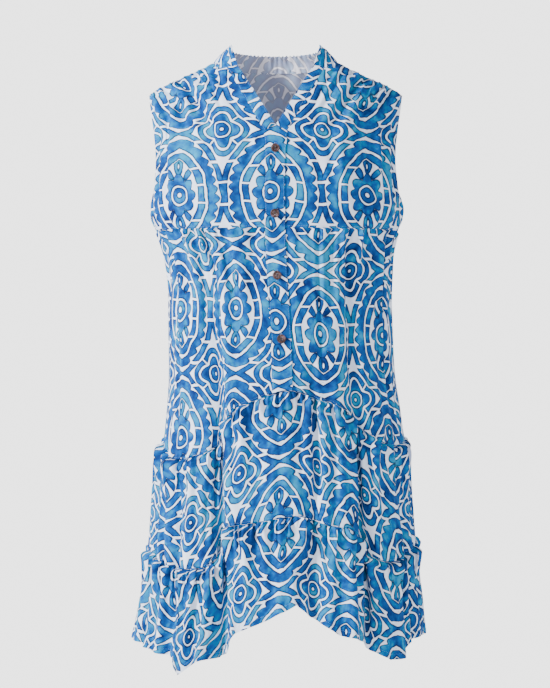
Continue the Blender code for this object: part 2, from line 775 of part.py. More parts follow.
def shoulder_gather(share, level):
    """Height of the small gathers under the shoulder seam, by turns out and in from column to column."""
    turns = np.where(np.arange(len(share)) % 2 == 0, 1.0, -1.0)
    along = ramp(share, GATHERED_SHOULDER) * (1 - ramp(share, PLAIN_SHOULDER))
    fade = ramp(level, GATHERED_LEVELS) * smooth_step((1.0 - level) / SHOULDER_SEAM_EASE)
    return SHOULDER_GATHER * turns * along * fade


def back_neck_height(out):
    """Height of the back neckline at a distance from the centre line."""
    return BACK_NECK + (NECK_POINT - BACK_NECK) * np.clip(out / NECK_HALF, 0.0, 1.0) ** 3


def back_top_level(angle):
    """Level of the back's upper edge: the shoulder seam, and the neckline between the neck points."""
    out = shoulder_reach(angle)
    return np.where(out < NECK_HALF, level_at(angle, back_neck_height(out)), 1.0)


def meet_neck_points(shares, edge, level):
    """Move two columns of the back so that they climb to the neck points, with the others even."""
    corner = float(angle_of(NECK_HALF, NECK_POINT))
    wanted = (90.0 - corner - edge) / (180.0 - 2 * edge)
    near = int(np.argmin(np.abs(shares - wanted)))
    far = int(np.argmin(np.abs(shares - 1 + wanted)))
    moved = smooth_step(level)
    near_then = shares[near] + (wanted - shares[near]) * moved
    far_then = shares[far] + (1 - wanted - shares[far]) * moved
    return np.interp(shares, (0.0, shares[near], shares[far], 1.0), (0.0, near_then, far_then, 1.0))


def make_back(body):
    """The back, one piece from the first tier to the shoulder seams."""
    outer_ring, inner_ring = body
    first, last = column_index(90.0), column_index(270.0)
    shares = column_shares(first, last)
    rows = []
    for level in YOKE_OUTER_ROWS[1:]:
        edge = armhole_angle(level, ARMHOLE_BACK, BACK_SWELL, "back")
        angle = 90.0 + edge + (180.0 - 2 * edge) * meet_neck_points(shares, edge, level)
        rows.append(cloth_point(angle, level * back_top_level(angle)))
    upper = np.stack([take_columns(outer_ring, first, last)[-1]] + rows)
    upper_inner = curved_inner(upper, WALL)
    outer = np.concatenate([take_columns(outer_ring, first, last), upper[1:]])
    inner = np.concatenate([take_columns(inner_ring, first, last), upper_inner[1:]])
    shift_edges(outer, inner, columns=(HALF_GAP, HALF_GAP), rows=(HALF_GAP, HALF_GAP))
    add_wall("back_body", outer, inner)


# ---------------------------------------------------------------- collar, bands, placket


def front_point(out, height, proud=0.0):
    """Point of the front at a distance from the neck's centre line and a height."""
    angle = angle_of(out, height)
    return cloth_point(angle, level_at(angle, height), proud)


def neckline():
    """Points of the neckline that carry the collar, from the right end of the V round the back to the left."""
    top = v_seam_points()[1]
    outs = np.array([V_TOP[0], top[0], SIDE_FRONT[0], NECK_HALF])
    heights = np.array([V_TOP[1], top[1], SIDE_FRONT[1], NECK_POINT])
    steps = np.linspace(0.0, 3.0, FRONT_STEPS + 1)
    half_front = front_point(np.interp(steps, range(4), outs), np.interp(steps, range(4), heights))
    turns = np.linspace(0.0, 90.0, BACK_STEPS + 1)[1:]
    out = NECK_HALF * np.cos(np.radians(turns))
    height = back_neck_height(out)
    angle = 180.0 - angle_of(out, height)
    half_back = cloth_point(angle, level_at(angle, height))
    half = np.concatenate([half_front, half_back])
    centre = section_read("centre", 0.0)
    other = half[::-1][1:].copy()
    other[:, 0] = 2 * centre - other[:, 0]
    return np.concatenate([half, other])


def make_collar():
    """Stand collar on the neckline, leaning in to its upper edge, with its ends at the top of the V."""
    base = neckline()
    count = len(base)
    end_turn = 180.0 - math.degrees(math.asin(COLLAR_END_X / COLLAR_TOP_HALF))
    marks = (0, FRONT_STEPS, count - 1 - FRONT_STEPS, count - 1)
    turn = np.radians(np.interp(np.arange(count), marks, (-end_turn, -90.0, 90.0, end_turn)))
    along = np.cos(turn)
    depth = np.where(along > 0, COLLAR_TOP_BACK, COLLAR_END_Y / math.cos(math.radians(end_turn)))
    top = np.stack([
        section_read("centre", 0.0) - COLLAR_TOP_HALF * np.sin(turn),
        depth * along,
        COLLAR_TOP - COLLAR_BACK_DROP * np.clip(along, 0.0, 1.0),
    ], axis=-1)
    foot = base + (0, 0, COLLAR_LIFT)
    rows = [foot + (top - foot) * row / (COLLAR_ROWS - 1) for row in range(COLLAR_ROWS)]
    outer = np.stack(rows)
    inner = flat_inner(outer, BAND_WALL, closed=False)
    outer[1:-1] += unit(outer[1:-1] - inner[1:-1]) * COLLAR_SWELL
    inner = flat_inner(outer, BAND_WALL, closed=False)
    add_wall("collar_stand", outer, inner)


def make_neck_band(name, side):
    """Band along one side of the V, between its edge and the yoke."""
    foot, top = v_seam_points()
    shares = np.array([0.0, 0.5, 1.0])
    edge_foot, edge_top = (BANDS_APART + V_POINT[0], V_POINT[1]), (BANDS_APART + V_TOP[0], V_TOP[1])
    rows = []
    for step in np.linspace(0.0, 1.0, BAND_STEPS):
        (x0, z0), (x1, z1) = between(edge_foot, edge_top, step), between(foot, top, step)
        out = side * (x0 + (x1 - x0) * shares)
        height = z0 + (z1 - z0) * shares
        if side < 0:
            out, height = out[::-1], height[::-1]
        rows.append(front_point(out, height))
    outer = np.stack(rows)
    inner = curved_inner(outer, WALL)
    gaps = (0.0, HALF_GAP) if side > 0 else (HALF_GAP, 0.0)
    shift_edges(outer, inner, columns=gaps, rows=(HALF_GAP, HALF_GAP))
    add_wall(name, outer, inner)


def placket_grid(proud, width_share, top_drop):
    """Grid of a strip down the centre front, from its pointed top at the V to the first tier."""
    foot = v_seam_points()[0]
    shares = np.array([-1.0, 0.0, 1.0])
    tops = np.array([foot[1], V_POINT[1], foot[1]]) - top_drop
    bottoms = hang_height("seam_2", placket_angle(shares, hang_height("seam_2", 0.0)))
    steps = np.linspace(0.0, 1.0, PLACKET_ROWS)[:, None]
    height = bottoms + (tops - bottoms) * steps
    return front_point(placket_out(shares * width_share, height), height, proud)


def make_plackets():
    """The under placket between the two fronts, and the upper one that lies on it."""
    outer = placket_grid(0.0, 1.0, SEAM_GAP)
    inner = curved_inner(outer, WALL)
    shift_edges(outer, inner, columns=(HALF_GAP, HALF_GAP), rows=(HALF_GAP, HALF_GAP))
    add_wall("placket_under", outer, inner)
    lift = SEAM_GAP + BAND_WALL
    outer = placket_grid(lift, OVER_SHARE, OVER_DROP)
    inner = curved_inner(outer, BAND_WALL)
    shift_edges(outer, inner, rows=(HALF_GAP, 0.0))
    add_wall("placket_over", outer, inner)


# ---------------------------------------------------------------- buttons


def button_mesh():
    """Two-hole button: a disc with a raised rim and a rounded back."""
    radius = BUTTON_DIAMETER / 2
    half = BUTTON_THICKNESS / 2
    profile = (
        (radius * 0.70, -half),
        (radius * 0.95, -half * 0.5),
        (radius, 0.0),
        (radius * 0.95, half * 0.7),
        (radius * 0.84, half),
        (radius * 0.66, half - BUTTON_RIM),
    )
    maker = bmesh.new()
    rings = []
    for out, height in profile:
        turns = [2 * math.pi * k / BUTTON_SIDES for k in range(BUTTON_SIDES)]
        rings.append([maker.verts.new((out * math.cos(t), out * math.sin(t), height)) for t in turns])
    for lower, upper in zip(rings, rings[1:]):
        for k in range(BUTTON_SIDES):
            following = (k + 1) % BUTTON_SIDES
            maker.faces.new((lower[k], lower[following], upper[following], upper[k]))
    maker.faces.new(rings[-1])
    maker.faces.new(rings[0][::-1])
    mesh = bpy.data.meshes.new("button")
    maker.to_mesh(mesh)
    maker.free()
    return mesh


def hole_cutter():
    """The two holes of a button, as one cutter."""
    maker = bmesh.new()
    for side in (-1, 1):
        place = Matrix.Translation((side * BUTTON_HOLE_PITCH / 2, 0, 0))
        bmesh.ops.create_cone(maker, cap_ends=True, segments=8, radius1=BUTTON_HOLE / 2,
                              radius2=BUTTON_HOLE / 2, depth=3 * BUTTON_THICKNESS, matrix=place)
    mesh = bpy.data.meshes.new("button_holes")
    maker.to_mesh(mesh)
    maker.free()
    return mesh


def make_buttons():
    """The buttons on the upper placket, each flat against the cloth under it."""
    cutter_mesh = hole_cutter()
    for number, height in enumerate(BUTTON_HEIGHTS, start=1):
        name = f"button_{number}"
        angle = angle_of(placket_out(0.0, height), height)
        level = level_at(angle, height)
        lift = SEAM_GAP + BAND_WALL + BUTTON_SHANK + BUTTON_THICKNESS / 2
        normal = shell_normal(angle, level)
        place = Vector(cloth_point(angle, np.asarray(level), lift))
        turn = Vector(normal).to_track_quat("Z", "Y")
        node = add_node(name, button_mesh(), BUTTON)
        node.matrix_world = Matrix.Translation(place) @ turn.to_matrix().to_4x4()
        cutter = bpy.data.objects.new(f"{name}_holes", cutter_mesh)
        bpy.context.scene.collection.objects.link(cutter)
        cutter.matrix_world = node.matrix_world
        cutter.hide_render = True
        cutter.display_type = "WIRE"
        cut = node.modifiers.new("holes", "BOOLEAN")
        cut.object = cutter
        cut.solver = "EXACT"


def main():
    """Clear the scene and make every piece."""
    for thing in list(bpy.data.objects):
        bpy.data.objects.remove(thing)
    body = body_ring()
    make_front_bodies(*body)
    make_back(body)
    make_yoke("front_yoke_left", 1, body)
    make_yoke("front_yoke_right", -1, body)
    make_tier("tier_2", "seam_2", "seam_3", (SEAM_2_DRIFT, SEAM_3_DRIFT), GATHERS_TO_SEAM)
    make_tier("tier_3", "seam_3", "hem", (SEAM_3_DRIFT, 1.0), GATHERS_TO_HEM)
    make_collar()
    make_neck_band("neck_band_left", 1)
    make_neck_band("neck_band_right", -1)
    make_plackets()
    make_buttons()


main()
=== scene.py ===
"""Looks of the sleeveless tiered kaftan dress: gathered cloth, print, stitches and buttons.

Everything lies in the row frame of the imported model: metres, +Z up, the front facing -Y, the
wearer's left at +X. A side is 1 for the wearer's left and -1 for the right. A place on the worn
surface is an angle round the garment, 0 at centre front and 90 at the left side, and a level. Above
0 that is the share of the way from the chest seam to the shoulder line, below 0 it is metres under
the seam.
"""

import logging
import math
from dataclasses import dataclass
from enum import Enum
from typing import Mapping, NamedTuple, Sequence

import bmesh
import bpy
import numpy as np
from mathutils import Matrix, Vector


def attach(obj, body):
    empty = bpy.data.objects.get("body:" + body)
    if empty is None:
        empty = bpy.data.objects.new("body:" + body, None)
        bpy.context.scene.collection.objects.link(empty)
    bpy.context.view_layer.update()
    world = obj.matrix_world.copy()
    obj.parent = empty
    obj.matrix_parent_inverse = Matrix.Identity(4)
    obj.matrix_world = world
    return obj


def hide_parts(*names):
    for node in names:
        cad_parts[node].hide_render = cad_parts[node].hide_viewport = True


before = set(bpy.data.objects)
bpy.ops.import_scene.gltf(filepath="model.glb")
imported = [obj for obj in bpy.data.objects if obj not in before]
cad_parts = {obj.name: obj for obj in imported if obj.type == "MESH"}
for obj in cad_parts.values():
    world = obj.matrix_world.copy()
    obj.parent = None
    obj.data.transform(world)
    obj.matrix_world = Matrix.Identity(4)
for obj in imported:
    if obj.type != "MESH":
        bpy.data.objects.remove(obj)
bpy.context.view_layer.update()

log = logging.getLogger("kaftan")

Array = np.ndarray
Colour = tuple[float, float, float, float]
Object = bpy.types.Object
Material = bpy.types.Material
Tree = bpy.types.NodeTree
Node = bpy.types.Node
Socket = bpy.types.NodeSocket
Inputs = Mapping[str | int, object]
Pair = tuple[float, float]
Point = tuple[float, float, float]
SewnPoints = tuple[Array, Array]

MM = 0.001

# ---------------------------------------------------------------- sizes of the worn form

CHEST = -262 * MM          # seam between yoke and body
UNDERARM = -240 * MM
SHOULDER_TIP = -42 * MM
NECK_POINT = 11.5 * MM
BACK_NECK = 3.0 * MM
NECK_HALF = 100 * MM
SHOULDER_HALF = 204.6 * MM
ROUNDNESS = 2.3
CHEST_SWELL = 2.2
BACK_SWELL = 3.0
ARMHOLE_FRONT = 47 * MM
ARMHOLE_BACK = 50 * MM
ARMHOLE_LOW = 0.7
ARMHOLE_DEEPEST = 0.9
V_POINT = (0.0, -99 * MM)
V_TOP = (60 * MM, 0.0)
NECK_BAND = 21 * MM
SIDE_FRONT = (95 * MM, -2 * MM)
PLACKET_HALF = 16 * MM
PLACKET_FLARE = 2 * MM
PLACKET_FLARE_FOOT = -160 * MM
PLACKET_FLARE_RUN = 50 * MM
SEAM_2_DRIFT = 0.42
SEAM_3_DRIFT = 0.70
FOLD_EASE = 70 * MM
WAIST_SHARE = 0.55
FOLD_POWER = 1.7
FIRST_SEAM = -580 * MM
LOWEST = -930 * MM
DRAPE_TOP = (0.93, 0.20)     # level where a drape has ended, and the run over which it fades
DRAPE_FOOT = (0.15, 0.25)
SIDES = (("left", 1), ("right", -1))


class Table:
    """Numbers in rows, with a name for each column."""

    def __init__(self, names: str, rows: Sequence[Sequence[float]]) -> None:
        self.rows = np.array(rows, dtype=float)
        self._columns = dict(zip(names.split(), self.rows.T))

    def __getitem__(self, name: str) -> Array:
        """Returns a column."""
        return self._columns[name]


# Horizontal sections: half the width, the depths before and behind the sides, the sideways place.
SECTIONS = Table("height half_width front back centre", (
    (-0.990, 0.246, 0.202, 0.190, 0.000),
    (-0.930, 0.241, 0.196, 0.184, 0.000),
    (-0.886, 0.235, 0.190, 0.178, 0.004),
    (-0.845, 0.229, 0.184, 0.172, 0.006),
    (-0.800, 0.221, 0.178, 0.166, 0.007),
    (-0.760, 0.217, 0.172, 0.160, 0.007),
    (-0.700, 0.211, 0.166, 0.154, 0.007),
    (-0.640, 0.205, 0.160, 0.147, 0.009),
    (-0.600, 0.196, 0.155, 0.141, 0.010),
    (-0.555, 0.190, 0.150, 0.134, 0.009),
    (-0.510, 0.185, 0.146, 0.127, 0.007),
    (-0.424, 0.182, 0.140, 0.116, 0.004),
    (-0.330, 0.181, 0.136, 0.109, 0.003),
    (-0.297, 0.185, 0.134, 0.110, 0.001),
    (-0.262, 0.195, 0.132, 0.112, -0.001),
    (-0.240, 0.204, 0.132, 0.112, -0.002),
    (-0.200, 0.203, 0.132, 0.112, -0.003),
    (-0.150, 0.2025, 0.132, 0.112, -0.004),
    (-0.110, 0.2025, 0.132, 0.112, -0.004),
    (-0.042, 0.2046, 0.132, 0.112, -0.004),
    (0.040, 0.2046, 0.132, 0.112, -0.004),
))
# The shoulder line, seen from the front.
SHOULDER_LINE = Table("out height", (
    (0.000, 0.034),
    (0.050, 0.028),
    (0.100, 0.0115),
    (0.120, 0.001),
    (0.140, -0.0085),
    (0.180, -0.0260),
    (0.198, -0.036),
    (0.2046, -0.042),
))
# Sideways place of the placket's middle.
PLACKET_LINE = Table("height centre", (
    (-0.520, 0.0065),
    (-0.440, 0.0050),
    (-0.340, -0.0015),
    (-0.240, -0.0052),
    (-0.170, -0.0052),
    (-0.110, -0.0040),
    (-0.099, -0.0040),
))
# Heights of the two tier seams and of the hem.
HANGS = Table("angle seam_2 seam_3 hem", (
    (-90, -0.602, -0.776, -0.918),
    (-75, -0.612, -0.776, -0.916),
    (-60, -0.626, -0.788, -0.922),
    (-50, -0.624, -0.794, -0.928),
    (-40, -0.616, -0.794, -0.932),
    (-37, -0.613, -0.792, -0.956),
    (-34, -0.610, -0.791, -0.948),
    (-31, -0.606, -0.790, -0.938),
    (-27, -0.562, -0.778, -0.932),
    (-22, -0.545, -0.7265, -0.930),
    (-18, -0.539, -0.725, -0.922),
    (-15, -0.536, -0.723, -0.890),
    (-5, -0.523, -0.717, -0.872),
    (0, -0.516, -0.712, -0.857),
    (4, -0.516, -0.709, -0.845),
    (8, -0.520, -0.712, -0.862),
    (14, -0.531, -0.722, -0.878),
    (20, -0.534, -0.727, -0.893),
    (28, -0.546, -0.731, -0.900),
    (33, -0.563, -0.749, -0.907),
    (38, -0.578, -0.774, -0.922),
    (45, -0.592, -0.784, -0.936),
    (55, -0.602, -0.784, -0.936),
    (60, -0.606, -0.783, -0.914),
    (75, -0.602, -0.770, -0.908),
    (90, -0.600, -0.760, -0.912),
    (110, -0.590, -0.752, -0.930),
    (135, -0.570, -0.742, -0.915),
    (160, -0.553, -0.733, -0.893),
    (180, -0.548, -0.730, -0.884),
    (200, -0.553, -0.733, -0.892),
    (225, -0.570, -0.742, -0.913),
    (250, -0.590, -0.757, -0.928),
    (270, -0.602, -0.776, -0.918),
))
# Valleys between rounded pleats: their angles at the chest and at the hem, the height where they
# start, their depths at the first tier seam and at the hem, and their half widths in degrees.
FOLDS = Table("at_chest at_hem starts depth hem_depth half_width", (
    (-84, -82, -0.17, 0.004, 0.012, 3.0),
    (-75, -68, -0.17, 0.005, 0.018, 3.5),
    (-66, -57, -0.17, 0.005, 0.010, 3.0),
    (-57, -46, -0.16, 0.005, 0.020, 3.5),
    (-47, -31, -0.28, 0.003, 0.010, 3.0),
    (-37, -20, -0.27, 0.017, 0.036, 4.5),
    (-24, -11, -0.262, 0.003, 0.008, 3.0),
    (-14, -5, -0.262, 0.002, 0.010, 3.0),
    (14, 9, -0.42, 0.008, 0.018, 3.5),
    (20, 19, -0.262, 0.004, 0.007, 2.6),
    (33, 36, -0.262, 0.015, 0.034, 4.5),
    (45, 47, -0.30, 0.003, 0.010, 3.0),
    (56, 57, -0.17, 0.005, 0.012, 3.0),
    (65, 66, -0.17, 0.005, 0.020, 3.5),
    (74, 76, -0.17, 0.005, 0.010, 3.0),
    (84, 85, -0.17, 0.004, 0.014, 3.0),
    (97, 97, -0.20, 0.004, 0.012, 3.5),
    (108, 109, -0.16, 0.006, 0.022, 4.0),
    (120, 122, -0.30, 0.003, 0.012, 3.5),
    (133, 135, -0.12, 0.007, 0.028, 4.5),
    (147, 148, -0.30, 0.003, 0.012, 3.5),
    (160, 161, -0.15, 0.006, 0.024, 4.5),
    (173, 173, -0.30, 0.003, 0.010, 3.5),
    (187, 186, -0.18, 0.005, 0.022, 4.5),
    (200, 199, -0.30, 0.003, 0.012, 3.5),
    (213, 212, -0.12, 0.007, 0.028, 4.5),
    (227, 226, -0.30, 0.003, 0.014, 3.5),
    (240, 239, -0.15, 0.006, 0.022, 4.0),
    (252, 252, -0.30, 0.003, 0.010, 3.5),
    (263, 265, -0.18, 0.004, 0.014, 3.5),
))
# Soft folds that fall from the gathered shoulder seams.
DRAPES = Table("angle depth half_width", (
    (-58, 0.006, 4.0),
    (-44, 0.003, 4.0),
    (44, 0.003, 4.0),
    (57, 0.006, 4.0),
))

# ---------------------------------------------------------------- reading the worn form


def smooth_read(xs: Array, ys: Array, x: Array) -> Array:
    """Returns the smooth curve through the points (xs, ys), read at x."""
    x = np.clip(np.asarray(x, dtype=float), xs[0], xs[-1])
    slopes = np.gradient(ys, xs)
    i = np.clip(np.searchsorted(xs, x) - 1, 0, len(xs) - 2)
    span = xs[i + 1] - xs[i]
    t = (x - xs[i]) / span
    rise = ys[i] * (2 * t**3 - 3 * t**2 + 1) + ys[i + 1] * (3 * t**2 - 2 * t**3)
    return rise + span * (slopes[i] * (t**3 - 2 * t**2 + t) + slopes[i + 1] * (t**3 - t**2))


def smooth_step(t: Array) -> Array:
    """Returns 0 below 0, 1 above 1, and an eased value between."""
    t = np.clip(t, 0.0, 1.0)
    return t * t * (3 - 2 * t)


def near_to(away: Array, reach: float) -> Array:
    """Returns 1 at a distance of 0, easing to 0 at the reach."""
    return smooth_step(1 - away / reach)


def from_start(value: Array, start: float, run: float) -> Array:
    """Returns 0 below the start, easing to 1 over the run."""
    return smooth_step((value - start) / run)


def to_end(value: Array, end: float, run: float) -> Array:
    """Returns 0 above the end, easing to 1 over the run below it."""
    return smooth_step((end - value) / run)


def lifted(share: Array, least: float) -> Array:
    """Returns a share of 0 to 1 brought between the least value and 1."""
    return least + (1 - least) * share


def signed_power(value: Array, power: float) -> Array:
    """Returns the power of a number, keeping its sign."""
    return np.sign(value) * np.abs(value) ** power


def turned_apart(angle: Array, other: float) -> Array:
    """Returns the difference of two angles, between -180 and 180."""
    return (np.asarray(angle) - other + 180.0) % 360.0 - 180.0


def ridge(beside: Array) -> Array:
    """Returns the height of a rounded ridge at distances beside it, as shares of its half width."""
    return np.exp(-np.abs(beside) ** FOLD_POWER)


def wave(along: Array, length: float, phase: float = 0.0) -> Array:
    """Returns a sine wave of that length."""
    return np.sin(math.tau * along / length + phase)


def floats(*values: Array) -> Sequence[Array]:
    """Returns numbers or arrays as arrays of one shape."""
    return np.broadcast_arrays(*(np.asarray(value, dtype=float) for value in values))


def unit(vectors: Array) -> Array:
    """Returns the vectors scaled to length 1."""
    return vectors / np.maximum(np.linalg.norm(vectors, axis=-1, keepdims=True), 1e-12)


def neck_height(out: Array) -> Array:
    """Returns the height of the back neck's edge at a distance from the centre line."""
    return BACK_NECK + (NECK_POINT - BACK_NECK) * np.clip(out / NECK_HALF, 0.0, 1.0) ** 3


class WornForm:
    """The garment's surface as it hangs when worn, before its fine gathers."""

    PROBE = (0.5, 0.004)        # degrees and levels to each side, for directions
    TOP_PROBE = 0.985
    UPRIGHT_RUN = 0.3

    def section(self, name: str, height: Array) -> Array:
        """Returns a size of the horizontal section at a height."""
        return smooth_read(SECTIONS["height"], SECTIONS[name], height)

    def shoulder_reach(self, angle: Array) -> Array:
        """Returns the distance from the centre line at which an angle meets the shoulder line."""
        return SHOULDER_HALF * np.abs(signed_power(np.sin(np.radians(angle)), 2 / ROUNDNESS))

    def shoulder_height(self, angle: Array) -> Array:
        """Returns the height of the shoulder line at an angle."""
        return np.interp(self.shoulder_reach(angle), SHOULDER_LINE["out"], SHOULDER_LINE["height"])

    def height(self, angle: Array, level: Array) -> Array:
        """Returns the height of a place."""
        reach = self.shoulder_height(angle) - CHEST
        level = np.asarray(level, dtype=float)
        return CHEST + np.where(level > 0, level * reach, level)

    def level(self, angle: Array, height: Array) -> Array:
        """Returns the level of a place, from its angle and its height."""
        reach = self.shoulder_height(angle) - CHEST
        over = np.asarray(height, dtype=float) - CHEST
        return np.where(over > 0, np.minimum(over / reach, 1.0), over)

    def angle(self, out: Array, height: Array) -> Array:
        """Returns the angle on the front at a distance from the centre line and a height."""
        share = np.clip(np.asarray(out) / self.section("half_width", height), -1.0, 1.0)
        return np.degrees(np.arcsin(signed_power(share, ROUNDNESS / 2)))

    def bare(self, angle: Array, level: Array) -> Array:
        """Returns points of the garment without folds."""
        angle, level = floats(angle, level)
        height = self.height(angle, level)
        across = signed_power(np.sin(np.radians(angle)), 2 / ROUNDNESS)
        along = signed_power(np.cos(np.radians(angle)), 2 / ROUNDNESS)
        is_front = along > 0
        depth = np.where(is_front, self.section("front", height), self.section("back", height))
        swell = np.where(is_front, CHEST_SWELL, BACK_SWELL)
        depth = depth * (1 - np.clip(level, 0.0, 1.0) ** swell) ** (1 / swell)
        x = self.section("centre", height) + self.section("half_width", height) * across
        return np.stack([x, -depth * along, height], axis=-1)

    def normal(self, angle: Array, level: Array) -> Array:
        """Returns the way out of the garment without folds, level under the chest seam."""
        angle, level = floats(angle, level)
        up = np.clip(level, -1.0, self.TOP_PROBE)
        turn, rise = self.PROBE
        around = self.bare(angle + turn, up) - self.bare(angle - turn, up)
        upward = self.bare(angle, up + rise) - self.bare(angle, up - rise)
        normal = np.cross(around, upward)
        normal[..., 2] *= smooth_step(level / self.UPRIGHT_RUN)
        return unit(normal)

    def fold_depth(self, angle: Array, level: Array) -> Array:
        """Returns how far the folds draw the cloth in at a place."""
        height = self.height(angle, level)
        drift = np.clip((CHEST - height) / (CHEST - HANGS["hem"].min()), 0.0, 1.0)
        to_hem = np.clip((FIRST_SEAM - height) / (FIRST_SEAM - LOWEST), 0.0, 1.1)
        depth = np.zeros(np.broadcast(angle, level).shape)
        for at_chest, at_hem, starts, at_seam, hem_depth, half_width in FOLDS.rows:
            beside = turned_apart(angle, at_chest + (at_hem - at_chest) * drift) / half_width
            to_seam = to_end(height, starts, starts - FIRST_SEAM)
            grown = to_end(height, starts, FOLD_EASE) * lifted(to_seam, WAIST_SHARE)
            depth += (at_seam * grown + (hem_depth - at_seam) * to_hem) * ridge(beside)
        shown = to_end(level, *DRAPE_TOP) * from_start(level, *DRAPE_FOOT)
        for middle, deep, half_width in DRAPES.rows:
            depth += deep * shown * ridge(turned_apart(angle, middle) / half_width)
        return depth

    def cloth(self, angle: Array, level: Array, proud: float = 0.0) -> Array:
        """Returns points of the folded cloth, or of what lies that far proud of it."""
        away = proud - self.fold_depth(angle, level)
        return self.bare(angle, level) + away[..., None] * self.normal(angle, level)

    def front(self, out: Array, height: Array, proud: float = 0.0) -> Array:
        """Returns points of the front at distances from the centre line and heights."""
        angle = self.angle(out, height)
        return self.cloth(angle, self.level(angle, height), proud)

    def hang(self, name: str, angle: Array) -> Array:
        """Returns the height of a tier seam or of the hem at an angle."""
        return np.interp(np.asarray(angle), HANGS["angle"], HANGS[name], period=360.0)

    def drifted(self, angle: Array, share: float) -> Array:
        """Returns where a place at the chest moves to, for a share of the folds' drift."""
        drift = FOLDS["at_hem"] - FOLDS["at_chest"]
        return angle + share * np.interp(angle, FOLDS["at_chest"], drift, period=360.0)

    def placket_out(self, share: Array, height: Array) -> Array:
        """Returns the distance from the centre line to a place across the placket, from -1 to 1."""
        centre = smooth_read(PLACKET_LINE["height"], PLACKET_LINE["centre"], height)
        flared = from_start(np.asarray(height), PLACKET_FLARE_FOOT, PLACKET_FLARE_RUN)
        half = PLACKET_HALF + PLACKET_FLARE * flared
        return centre + share * half - self.section("centre", height)

    def placket_angle(self, side: Array, height: Array) -> Array:
        """Returns the angle of one of the placket's edges at a height."""
        return self.angle(self.placket_out(side, height), height)


FORM = WornForm()


# ---------------------------------------------------------------- gathers and creases

# Soft ridges and troughs: the angles and heights of both ends, the rise and the half width.
CREASE = "top_angle top foot_angle foot rise half_width"
BODY_CREASES = Table(CREASE, (
    (-28, -0.262, -25, -0.360, 0.0022, 0.0030),
    (-27, -0.262, -24, -0.350, -0.0020, 0.0030),
    (-20, -0.262, -19, -0.300, 0.0018, 0.0025),
    (-12, -0.262, -12, -0.318, 0.0020, 0.0035),
    (-8.5, -0.262, -9, -0.300, -0.0016, 0.0025),
    (15, -0.262, 15, -0.530, 0.0030, 0.0035),
    (17, -0.262, 17, -0.530, -0.0034, 0.0030),
    (26, -0.262, 27, -0.400, 0.0026, 0.0030),
    (28, -0.262, 29, -0.390, -0.0026, 0.0028),
    (39, -0.262, 41, -0.350, 0.0018, 0.0040),
    (-44, -0.270, -40, -0.480, 0.0020, 0.0060),
    (-52, -0.250, -50, -0.420, -0.0018, 0.0040),
    (-63, -0.250, -60, -0.500, 0.0022, 0.0035),
    (-71, -0.250, -70, -0.460, -0.0020, 0.0030),
    (52, -0.250, 51, -0.430, -0.0020, 0.0040),
    (61, -0.250, 61, -0.520, 0.0022, 0.0035),
    (69, -0.250, 70, -0.450, -0.0020, 0.0030),
    (79, -0.240, 80, -0.500, 0.0018, 0.0030),
    (102, -0.240, 103, -0.520, 0.0018, 0.0040),
    (114, -0.250, 115, -0.430, -0.0020, 0.0050),
    (127, -0.200, 128, -0.560, 0.0022, 0.0060),
    (140, -0.230, 141, -0.450, -0.0018, 0.0050),
    (154, -0.180, 155, -0.540, 0.0024, 0.0060),
    (167, -0.250, 167, -0.420, -0.0018, 0.0045),
    (180, -0.160, 179, -0.548, 0.0022, 0.0065),
    (194, -0.250, 193, -0.450, -0.0020, 0.0045),
    (207, -0.190, 206, -0.550, 0.0024, 0.0060),
    (220, -0.230, 220, -0.470, -0.0018, 0.0050),
    (233, -0.200, 232, -0.560, 0.0022, 0.0060),
    (246, -0.250, 245, -0.440, -0.0018, 0.0050),
    (257, -0.240, 258, -0.540, 0.0018, 0.0040),
))
YOKE_CREASES = Table(CREASE, (
    (-50, -0.060, -55, -0.230, 0.0046, 0.0060),
    (-66, -0.100, -70, -0.262, -0.0050, 0.0045),
    (-36, -0.050, -40, -0.150, -0.0034, 0.0050),
    (-28, -0.150, -33, -0.255, 0.0025, 0.0070),
    (-74, -0.130, -79, -0.262, 0.0042, 0.0040),
    (50, -0.060, 54, -0.235, 0.0046, 0.0060),
    (66, -0.090, 69, -0.262, -0.0050, 0.0045),
    (37, -0.050, 41, -0.160, -0.0034, 0.0050),
    (27, -0.140, 31, -0.255, 0.0025, 0.0070),
    (75, -0.130, 80, -0.262, 0.0042, 0.0040),
    (-16, -0.160, -22, -0.245, -0.0021, 0.0060),
    (15, -0.150, 22, -0.235, -0.0021, 0.0060),
    (112, -0.070, 118, -0.250, -0.0034, 0.0080),
    (135, -0.040, 140, -0.220, 0.0029, 0.0090),
    (222, -0.040, 218, -0.220, 0.0029, 0.0090),
    (246, -0.070, 241, -0.250, -0.0034, 0.0080),
))
TIER_2_CREASES = Table(CREASE, (
    (-33, -0.575, -31, -0.790, -0.0060, 0.0050),
    (-29, -0.575, -27, -0.790, 0.0050, 0.0050),
    (34, -0.575, 36, -0.780, -0.0060, 0.0050),
    (30, -0.560, 31, -0.770, 0.0050, 0.0050),
    (11, -0.530, 12, -0.720, -0.0050, 0.0050),
    (14, -0.530, 15, -0.720, 0.0040, 0.0050),
    (-66, -0.615, -64, -0.780, 0.0040, 0.0060),
    (-52, -0.620, -48, -0.780, -0.0036, 0.0060),
    (-38, -0.610, -33, -0.770, 0.0036, 0.0070),
    (-13, -0.540, -12, -0.700, -0.0030, 0.0060),
    (-4, -0.520, -3, -0.700, 0.0034, 0.0080),
    (6, -0.530, 6, -0.690, -0.0034, 0.0060),
    (22, -0.535, 24, -0.720, 0.0030, 0.0070),
    (42, -0.590, 43, -0.770, 0.0036, 0.0070),
    (52, -0.600, 53, -0.770, -0.0036, 0.0060),
    (70, -0.600, 71, -0.760, -0.0034, 0.0060),
))
